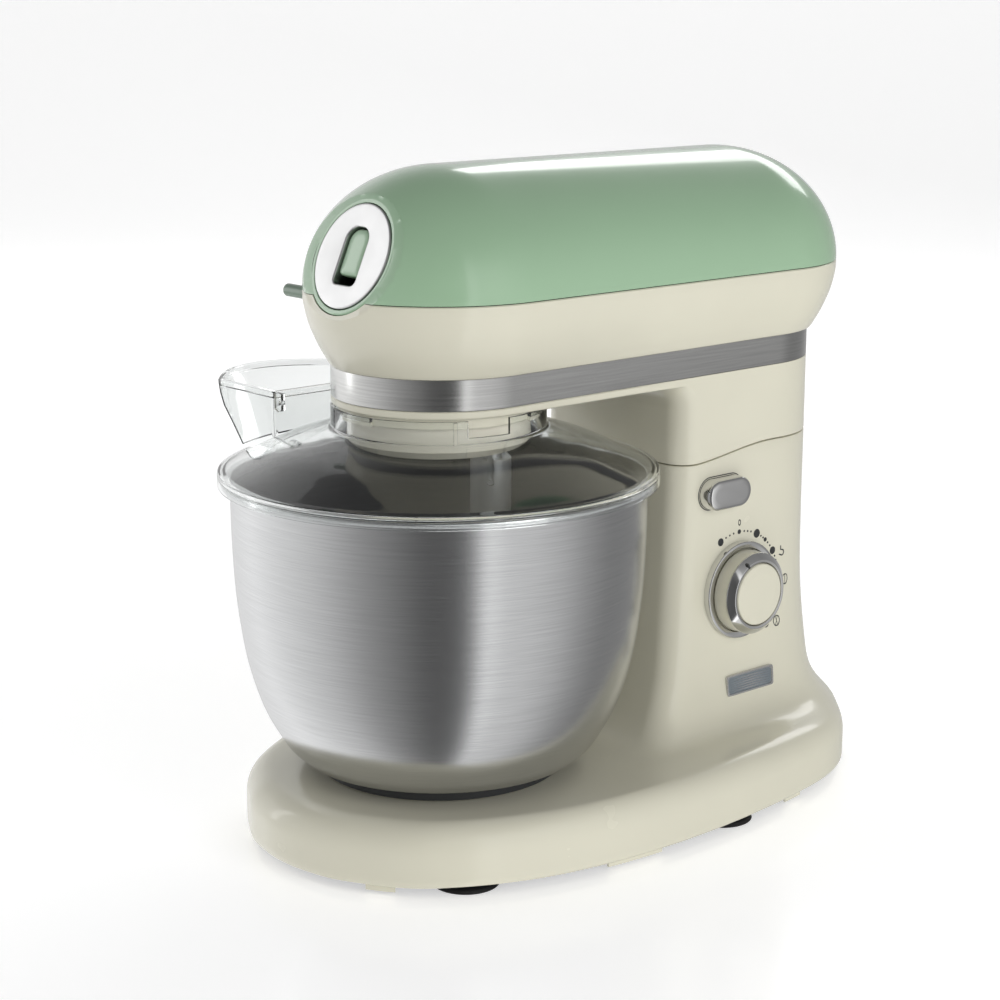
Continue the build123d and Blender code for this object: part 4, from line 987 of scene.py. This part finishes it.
def knob():
    """The dial's knob, its bright bevel, its face and the printed pointer."""
    knob_r, back, front = (knob_high.y - knob_low.y) / 2, knob_low.x, knob_high.x
    at = side_matrix(0, KNOB_Y, KNOB_Z)
    body = rounded([(0, back, 0), (knob_r - 0.6, back, 0), (knob_r, back + 0.8, 0.6),
                    (knob_r - 0.25, front - 0.5, 0.3), (knob_r - 0.9, front, 0.2), (18.2, front, 0),
                    (18.2, front - 2, 0), (0, front - 2, 0)], 4, False)
    make_piece("knob_body", placed(lathe(body, 160, close=False), at), CREAM, "dial",
               ["knob_body"])
    trim = rounded([(knob_r, front, 0.3), (knob_r - 0.2, front + 0.7, 0.4),
                    (20.0, front + 3.8, 0.5), (18.6, front + 3.6, 0.3), (18.25, front + 2.4, 0.1),
                    (18.25, front, 0)], 4)
    make_piece("knob_trim", placed(lathe(trim, 160), at), CHROME, "dial",
               ["knob_trim"], 50)
    face = [(0, front - 2), (17.9, front - 2),
            *rounded([(17.9, front - 1, 0), (17.9, front + 4.0, 1.3),
            (12, front + 4.4, 6), (0, front + 4.4, 0)], 6, False)]
    make_piece("knob_face", placed(lathe(face, 128, close=False), at), CREAM, "dial",
               ["knob_face"])
    pointer = [(-0.5, 19.0), (0.5, 19.0), (0.5, knob_r - 1.6), (-0.5, knob_r - 1.6)]
    lean = Matrix.Rotation(radians(28), 4, "Z")
    mark = placed(plate(pointer, front + 1.2, front + 4.1, 0.1), at @ lean)
    make_piece("knob_pointer", mark, PRINT, "dial")


def bezel():
    """The chrome ring round the knob."""
    outer, knob_r = (bezel_high.y - bezel_low.y) / 2, (knob_high.y - knob_low.y) / 2
    front = bezel_high.x
    line = rounded([(outer, 58.5, 0), (outer, front - 0.2, 1.0), (outer - 1.6, front, 0.8),
                    (knob_r + 0.9, front - 0.5, 0.4), (knob_r + 0.5, front - 1.2, 0.2),
                    (knob_r + 0.5, 58.5, 0)], 5)
    make_piece("dial_bezel", placed(lathe(line, 160), side_matrix(0, KNOB_Y, KNOB_Z)), CHROME,
               "stand", ["dial_bezel"], 50)


def release_button():
    """The chrome push button, flat in front with a rounded edge."""
    width, height = button_high.y - button_low.y, button_high.z - button_low.z
    out = button_high.x
    levels = ((0, 50), (0, out - 3.2), (0.15, out - 2.2), (0.6, out - 1.2), (1.4, out - 0.5),
              (2.6, out - 0.12), (4.5, out))
    at = side_matrix(0, *side_middle(button_low, button_high))
    make_piece("release_button",
               placed(skin(box_rings(width, height, height / 2, levels, 128)), at), CHROME,
               "release", ["release_button"], 40)


def button_gap_shade():
    """A dark ring round the button: painted shade in the gap."""
    width, height = button_high.y - button_low.y, button_high.z - button_low.z
    middle = side_middle(button_low, button_high)
    x = side_x(*middle)
    levels = ((-0.3, x - 2.5), (-0.3, x + 0.05), (-0.55, x + 0.18), (-0.9, x + 0.05),
              (-0.9, x - 2.5))
    gap_shade_ring = skin(box_rings(width, height, height / 2, levels, 96), wrap=True)
    # dark plastic in the gap round the button: painted shade
    make_piece("button_gap_shade", placed(gap_shade_ring, side_matrix(0, *middle)), DARK, "stand")


def badge():
    """A plain silver plate: a raised frame round a dark field with bars."""
    width, height = badge_high.y - badge_low.y, badge_high.z - badge_low.z
    lean = Matrix.Rotation(radians(-4.5), 4, "X")
    at = side_matrix(badge_high.x - 0.6, *side_middle(badge_low, badge_high)) @ lean
    levels = ((0.3, -3.2), (0, -2.9), (0, -0.35), (0.2, 0.0), (0.6, 0.05), (1.15, 0.0),
              (1.3, -0.35), (1.4, -0.5))
    frame_rings = box_rings(width, height, 1.7, levels, 128, 0.6)
    make_piece("badge", placed(skin(frame_rings), at), BADGE_METAL, "stand",
               ["badge"])
    field = plate(round_box(width - 2.7, height - 2.7, 1.2, 64), -0.55, -0.42, 0.05)
    make_piece("badge_field", placed(field, at), BADGE_FIELD, "stand")
    bar = plate(round_box(width - 5.4, 0.7, 0.3, 24), -0.5, -0.22, 0.1)
    bars = [placed(bar, Matrix.Translation((0, (row - 2.5) * 1.4, 0))) for row in range(6)]
    make_piece("badge_bars", placed(joined(*bars), at), BADGE_METAL, "stand")


MARKS_R = 33.6      # circle of the printed discs and dots round the dial


def dial_marks():
    """Speed marks round the dial: printed discs, dots, a zero and three outline tool signs."""
    parts = []

    def laid(part, angle, reach):
        """Lays a flat mark on the column's side, which is curved towards the back."""
        y, z = KNOB_Y + reach * sin(radians(angle)), KNOB_Z + reach * cos(radians(angle))
        verts, faces = placed(part, side_matrix(0, y, z))
        parts.append(([(x + side_x(y, z), y, z) for x, y, z in verts], faces))

    def put(outline, angle, reach, size=1.0, turn=0.0):
        c, s = cos(turn) * size, sin(turn) * size
        flat = [(a * c - b * s, a * s + b * c) for a, b in outline]
        laid(plate(flat, -0.3, 0.07, 0.03), angle, reach)

    def loop(outline, width, angle, reach):
        """An outline drawn as a line of a width."""
        inner = [(a * (1 - width), b * (1 - width)) for a, b in outline]
        rings = [ring_at(outline, -0.3), ring_at(outline, 0.07), ring_at(inner, 0.07),
                 ring_at(inner, -0.3)]
        laid(skin(rings, wrap=True), angle, reach)

    for angle, radius in ((-27, 2.3), (0, 1.4), (26, 2.6), (41, 1.3), (58, 2.3), (84, 2.3),
                          (138, 2.3)):
        put(circle(radius, 40), angle, MARKS_R)
    for angle in (-19, -13.5, -8, 7, 12, 17, 33, 37, 46, 51, 65, 70, 75):
        put(circle(0.62, 20), angle, MARKS_R)
    loop([(1.15 * x, 1.9 * y) for x, y in circle(1.0, 40)], 0.42, 0, 39.0)
    beater = smooth_line([(0, 3.2), (2.2, 2.2), (2.9, -0.6), (1.6, -3.0), (0, -3.4), (-1.6, -3.0),
                          (-2.9, -0.6), (-2.2, 2.2), (0, 3.2)], 5)[:-1]
    hook = smooth_line([(-1.2, 3.4), (-0.4, 3.4), (-0.2, 1.2), (2.4, 0.4), (3.0, -2.2), (0.6, -3.6),
                        (-2.4, -2.4), (-1.9, -1.8), (0.6, -2.7), (2.0, -1.8), (1.6, -0.3),
                        (-1.2, 0.6)], 4)
    loop(beater, 0.2, 92, 40.5)
    put([(-0.2, -3.2), (0.2, -3.2), (0.2, 3.0), (-0.2, 3.0)], 92, 40.5)
    put(hook, 66, 40.0, 0.9)
    loop(beater, 0.2, 128, 40.0)
    for lean in (-0.35, 0.35):
        put([(-0.16, -3.0), (0.16, -3.0), (0.16, 2.8), (-0.16, 2.8)], 128, 40.0, 1.0, lean)
    make_piece("dial_marks", joined(*parts), PRINT, "stand")


# ---------------------------------------------------------------- bowl, lid, chute
def bowl():
    """The spun bowl with its rolled rim, and its inside and floor painted darker as shade."""
    outside = smooth_line([(78, 47.15), (84.4, 53.2), (89, 60.2), (95.2, 71.5), (100, 84),
                           (104.4, 100), (107.5, 118), (110, 141), (111.2, 168), (111.5, 195.5)], 8)
    rim = rounded([(111.5, 195.5, 0), (111.5, 198.8, 0.8), (113.2, 198.8, 0.5), (113.2, 196.4, 0.5),
                   (114.2, 196.4, 0.5), (114.2, 200, 1.4), (110.5, 200, 1.2), (110.5, 195, 0)], 5,
                  False)
    inside = [(r - 1.0, z + 0.3) for r, z in reversed(outside[1:])]
    floor_out = rounded([(0, 49.4, 0), (60, 47.6, 20), (76.2, 47.2, 0)], 6, False)
    floor_in = [(r, z + 1.0) for r, z in reversed(floor_out)]
    line = floor_out + outside + rim[1:] + inside + floor_in
    piece = make_piece("bowl", lathe(line, 256, close=False), BOWL_STEEL, "bowl",
                       ["bowl"], 50)
    # Inward faces below the rim and the inside floor get the darker steel: painted shade.
    piece.data.materials.append(BOWL_PAINTED_SHADE)
    for face in piece.data.polygons:
        inward = face.normal.x * face.center.x + face.normal.y * face.center.y < 0
        floor = face.normal.z > 0.5 and face.center.z < 60 * MM
        face.material_index = 1 if (inward and face.center.z < 194 * MM) or floor else 0


def foot_ring():
    """The ring under the bowl, with the lugs that lock it to its seat."""
    line = rounded([(67, ring_low.z, 0.5), (67, 44.5, 0.5), (66.2, 46.9, 0.5), (64, 46.9, 0.3),
                    (64, ring_low.z, 0.3)], 4)
    lugs = [lug(turn, 65.0, 57.5, 13, 39.4, 41.2) for turn in BOWL_TURNS]
    make_piece("bowl_foot_ring", joined(lathe(line, 192), *lugs), DARK, "bowl",
               ["bowl_foot_ring"])


# the chute's height, and how far out its corners and the middle of its outer wall are there
CHUTE = ((204.6, -111.0, -125.8), (208.0, -114.0, -130.0), (216, -121.0, -142),
         (224.0, -128.5, -154.0), (231, -132.0, -162.5), (238.2, -133.5, -168.0))

CHUTE_INNER_X, CHUTE_HALF_Y = -79.6, 50.5


def chute_ring(corner_x, out_x, inset, height):
    """Plan of the chute: straight walls and a bowed outer one, with small corner radii."""
    inner, half = CHUTE_INNER_X - inset, CHUTE_HALF_Y - inset
    bow = []
    for index in range(33):
        t = index / 32 * 2 - 1
        bow.append((corner_x + (out_x + inset - corner_x) * (1 - t * t), t * half))
    small = max(2.6 - inset, 0.5)
    corners = [(inner, half, small), (inner, -half, small)]
    line = bow + rounded([(corner_x, half, 0), *corners, (corner_x, -half, 0)], 6, False)[1:-1]
    return ring_at(line, height)


def feed_chute():
    """The pouring chute with its rim, walls and the small hook at its near inner corner."""
    outer = [chute_ring(c, o, 0, z) for z, c, o in CHUTE]
    top = CHUTE[-1]
    outer[-1] = chute_ring(top[1], top[2], 0, top[0] - 0.5)
    outer.append(chute_ring(top[1], top[2], 0.45, top[0]))
    inner = [chute_ring(c, o, 1.9, z) for z, c, o in reversed(CHUTE)]
    inner[0] = chute_ring(top[1], top[2], 2.9, top[0])
    inner.insert(1, chute_ring(top[1], top[2], 3.4, top[0] - 0.5))
    inner.insert(2, chute_ring(top[1], top[2], 3.4, top[0] - 3.2))
    inner.insert(3, chute_ring(top[1] + 0.3, top[2] + 0.8, 1.9, top[0] - 3.8))
    walls = skin(outer + inner, wrap=True)
    rib_low, rib_high = 208.0, 236.5
    ribs = [block((low, -50.4, rib_low), (high, -48.2, rib_high))
            for low, high in ((-101.6, -100.4), (-92.0, -90.8))]
    hook_line = rounded([(-79.6, 238, 0.4), (-79.6, 229, 0.5), (-76.5, 227.4, 1.2),
                         (-73.2, 229, 1.2), (-73.2, 238, 0.5)], 4)
    hook = skin([[(x, y, z) for x, z in hook_line] for y in (-50.3, -47.6)])
    piece = make_piece("feed_chute", joined(walls, *ribs, hook), CLEAR, None)
    hole = [(-76.3 + 1.3 * cos(a), 232.6 + 1.3 * sin(a)) for a in np.linspace(0, 2 * pi, 25)[:-1]]
    take_away(piece, skin([[(x, y, z) for x, z in hole] for y in (-55, -45)]))
    piece.visible_shadow = False
    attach(piece, "lid")
    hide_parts("feed_chute")


def lid():
    """The clear splash lid: a rolled edge, a dome and the collar it hangs by."""
    dome = smooth_line([(LID_R - 4.5, 204.6), (110, 206.1), (98, 211.6), (86, 217.1), (74, 221.2),
                        (65, 224.0), (COLLAR_R + 1.2, 226.2)], 6)
    top = [(LID_R, 196.7),
           *rounded([(LID_R, 198, 0), (LID_R, 203.8, 1.8), (LID_R - 4.5, 204.6, 2.0),
                     (110, 206.1, 0)],
                                    5, False)[:-1], *dome[2:]]
    collar = rounded([(COLLAR_R + 1.2, 226.2, 0), (COLLAR_R, 227.2, 1.0), (COLLAR_R, 238.2, 0.4),
                      (COLLAR_R - 1.8, 238.2, 0.4), (COLLAR_R - 1.8, 225.6, 1.0)], 4, False)
    under = [(r, z - 1.8) for r, z in reversed(dome[2:-1])]
    edge = rounded([(110, 204.0, 0), (LID_R - 2.2, 201.6, 2.0), (LID_R - 1.8, 196.7, 0.3)], 5,
                   False)
    line = top + collar[1:] + under + edge[1:]
    piece = make_piece("lid", lathe(line, 256), CLEAR, None)
    cutter = [chute_ring(c + 0.15, o - 0.15, -0.12, z) for z, c, o in CHUTE]
    cutter.insert(0, chute_ring(CHUTE[0][1] + 8, CHUTE[0][2] + 14, -0.12, 190))
    cutter.append(chute_ring(CHUTE[-1][1], CHUTE[-1][2], -0.12, 242))
    take_away(piece, skin(cutter))
    take_away(piece, placed(block((50, -12, 229.5), (62, 12, 240)),
                             Matrix.Rotation(radians(-12), 4, "Z")))
    rib = block((COLLAR_R - 0.6, -0.9, 226.3), (COLLAR_R + 1.7, 0.9, 238.0))
    take_away(piece, placed(rib, Matrix.Rotation(radians(-31), 4, "Z")), "UNION")
    piece.visible_shadow = False
    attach(piece, "lid")
    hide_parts("lid")


def lid_tabs():
    """The three tabs inside the collar that lock under the arm."""
    tabs = [lug(turn, COLLAR_R - 1.5, 54.0, 12, 235.7, 237.6) for turn in LID_TURNS]
    piece = make_piece("lid_tabs", joined(*tabs), CLEAR, "lid")
    piece.visible_shadow = False


def gearbox_cover():
    """The cream cup over the planet gear and the turning cup under it."""
    outer, inner = housing_high.x, 48.0
    line = rounded([(outer, 240.0, 0.8), (outer, 262.4, 0), (inner, 262.4, 0), (inner, 240.0, 0.5)],
                   4)
    web = [(outer - 1, 251.5), (outer - 1, 254.5), (20.2, 254.5), (20.2, 251.5)]
    make_piece("planet_housing", joined(lathe(line, 160), lathe(web, 160)), CREAM, "head",
               ["planet_housing"])


# ---------------------------------------------------------------- studio
def card(name, place, look_at, width, height, power, tint=(1, 1, 1)):
    """A soft box: an area light that faces a point."""
    data = bpy.data.lights.new(name, "AREA")
    data.shape, data.size, data.size_y = "RECTANGLE", width, height
    data.energy, data.color = power, tint
    light = bpy.data.objects.new(name, data)
    light.location = place
    direction = Vector(look_at) - Vector(place)
    light.rotation_mode = "QUATERNION"
    light.rotation_quaternion = direction.to_track_quat("-Z", "Y")
    bpy.context.scene.collection.objects.link(light)
    return light


def studio():
    """A pale floor that curves up behind, a plain surround and soft boxes."""
    floor_finish = Finish("floor", (0.9, 0.9, 0.9, 1), 0.16, IOR=1.35)
    floor_finish.shader.inputs["Emission Color"].default_value = (1, 1, 1, 1)
    floor_finish.shader.inputs["Emission Strength"].default_value = 0.47
    floor_finish.gloss(floor_finish.noise(floor_finish.place, 6, 3), 0.03)
    side, reach, curve, wall = 6.0, 2.2, 1.2, 4.0
    line = [(-side, 0.0), (0.0, 0.0), (reach, 0.0)]
    line += [(reach + curve * sin(a), curve * (1 - cos(a))) for a in np.linspace(0, pi / 2, 24)[1:]]
    line += [(reach + curve, wall)]
    toward = Vector((-sin(CAMERA_AZIMUTH), cos(CAMERA_AZIMUTH)))
    across = Vector((toward.y, -toward.x))
    verts = [(*(toward * far + across * end), height) for far, height in line
             for end in (-side, side)]
    faces = [(2 * i, 2 * i + 1, 2 * i + 3, 2 * i + 2) for i in range(len(line) - 1)]
    mesh = bpy.data.meshes.new("floor")
    mesh.from_pydata(verts, [], faces)
    mesh.shade_smooth()
    mesh.materials.append(floor_finish.material)
    floor = bpy.data.objects.new("floor", mesh)
    bpy.context.scene.collection.objects.link(floor)
    floor.visible_glossy = False
    surround()
    middle = (0, 0.08, 0.18)
    card("back_top_box", (-0.9, 1.9, 1.35), middle, 1.6, 0.5, 8)
    card("nose_strip", (-1.5, -1.0, 0.55), middle, 0.22, 1.3, 2)
    side = card("right_box", (1.9, 0.15, 0.75), middle, 0.8, 1.2, 9)
    fill = card("front_fill", (1.9, -0.95, 0.85), middle, 1.4, 0.9, 5)
    for light in (side, fill):
        light.visible_glossy = False


# brightness of the studio's walls by compass angle, anticlockwise from +X, in degrees
WALLS = ((-180, 1.1), (-163, 1.25), (-135, 1.0), (-106, 0.72), (-84, 0.42), (-64, 0.26),
         (-48, 0.13), (-26, 0.10), (-19, 0.16), (-16.5, 1.5), (-11, 1.5), (-7, 0.85), (12, 0.8),
         (32, 0.62), (46, 0.42), (66, 0.26), (95, 0.3), (130, 0.6), (160, 0.95), (180, 1.1))
ZENITH = 0.22


def surround():
    """A studio whose walls go from dark to bright round the compass, under a dim ceiling."""
    world = bpy.data.worlds.new("surround")
    world.use_nodes = True
    bpy.context.scene.world = world
    tree = world.node_tree
    place = new_node(tree, "TexCoord").outputs["Generated"]
    split = new_node(tree, "SeparateXYZ", {0: place}).outputs
    turn = new_node(tree, "Math", {0: split["Y"], 1: split["X"]}, "ARCTAN2").outputs[0]
    share = new_node(tree, "MapRange", {"From Min": -pi, "From Max": pi, "Value": turn})
    walls = new_node(tree, "FloatCurve", {"Value": share.outputs["Result"]})
    curve = walls.mapping.curves[0]
    highest = max(level for _, level in WALLS)
    points = [((angle + 180) / 360, level / highest) for angle, level in WALLS]
    curve.points[0].location, curve.points[1].location = points[0], points[-1]
    for point in points[1:-1]:
        curve.points.new(*point)
    for point in curve.points:
        point.handle_type = "VECTOR"
    walls.mapping.update()
    rise = new_node(tree, "MapRange", {"From Min": 0.25, "From Max": 0.85, "Value": split["Z"]})
    rise.interpolation_type = "SMOOTHSTEP"
    level = new_node(tree, "Mix")
    level.data_type = "FLOAT"
    tree.links.new(rise.outputs["Result"], level.inputs[0])
    tree.links.new(walls.outputs[0], level.inputs[2])
    level.inputs[3].default_value = ZENITH / highest
    strength = new_node(tree, "Math", {0: level.outputs[0], 1: highest}, "MULTIPLY")
    ambient = tree.nodes["Background"]
    ambient.inputs["Color"].default_value = (1.0, 1.0, 1.0, 1)
    tree.links.new(strength.outputs[0], ambient.inputs["Strength"])
    white = new_node(tree, "Background", {"Color": (1.0, 1.0, 1.0, 1), "Strength": 1.05})
    seen = new_node(tree, "LightPath").outputs["Is Camera Ray"]
    mix = new_node(tree, "MixShader", {"Fac": seen, 1: ambient.outputs[0], 2: white.outputs[0]})
    tree.links.new(mix.outputs[0], tree.nodes["World Output"].inputs["Surface"])


def main():
    for step in (make_camera, finish_nodes, studio, green_shell, cream_tub, steel_band, seam_bead,
                 nose_cover, cover_latch, hub_lock_pin, stand, arm_and_neck, lock_ring, base_tabs,
                 suction_feet, knob, bezel, release_button, button_gap_shade, badge, dial_marks,
                 bowl, foot_ring, feed_chute, lid, lid_tabs, gearbox_cover):
        step()
    bpy.context.scene.view_settings.view_transform = "Standard"


main()
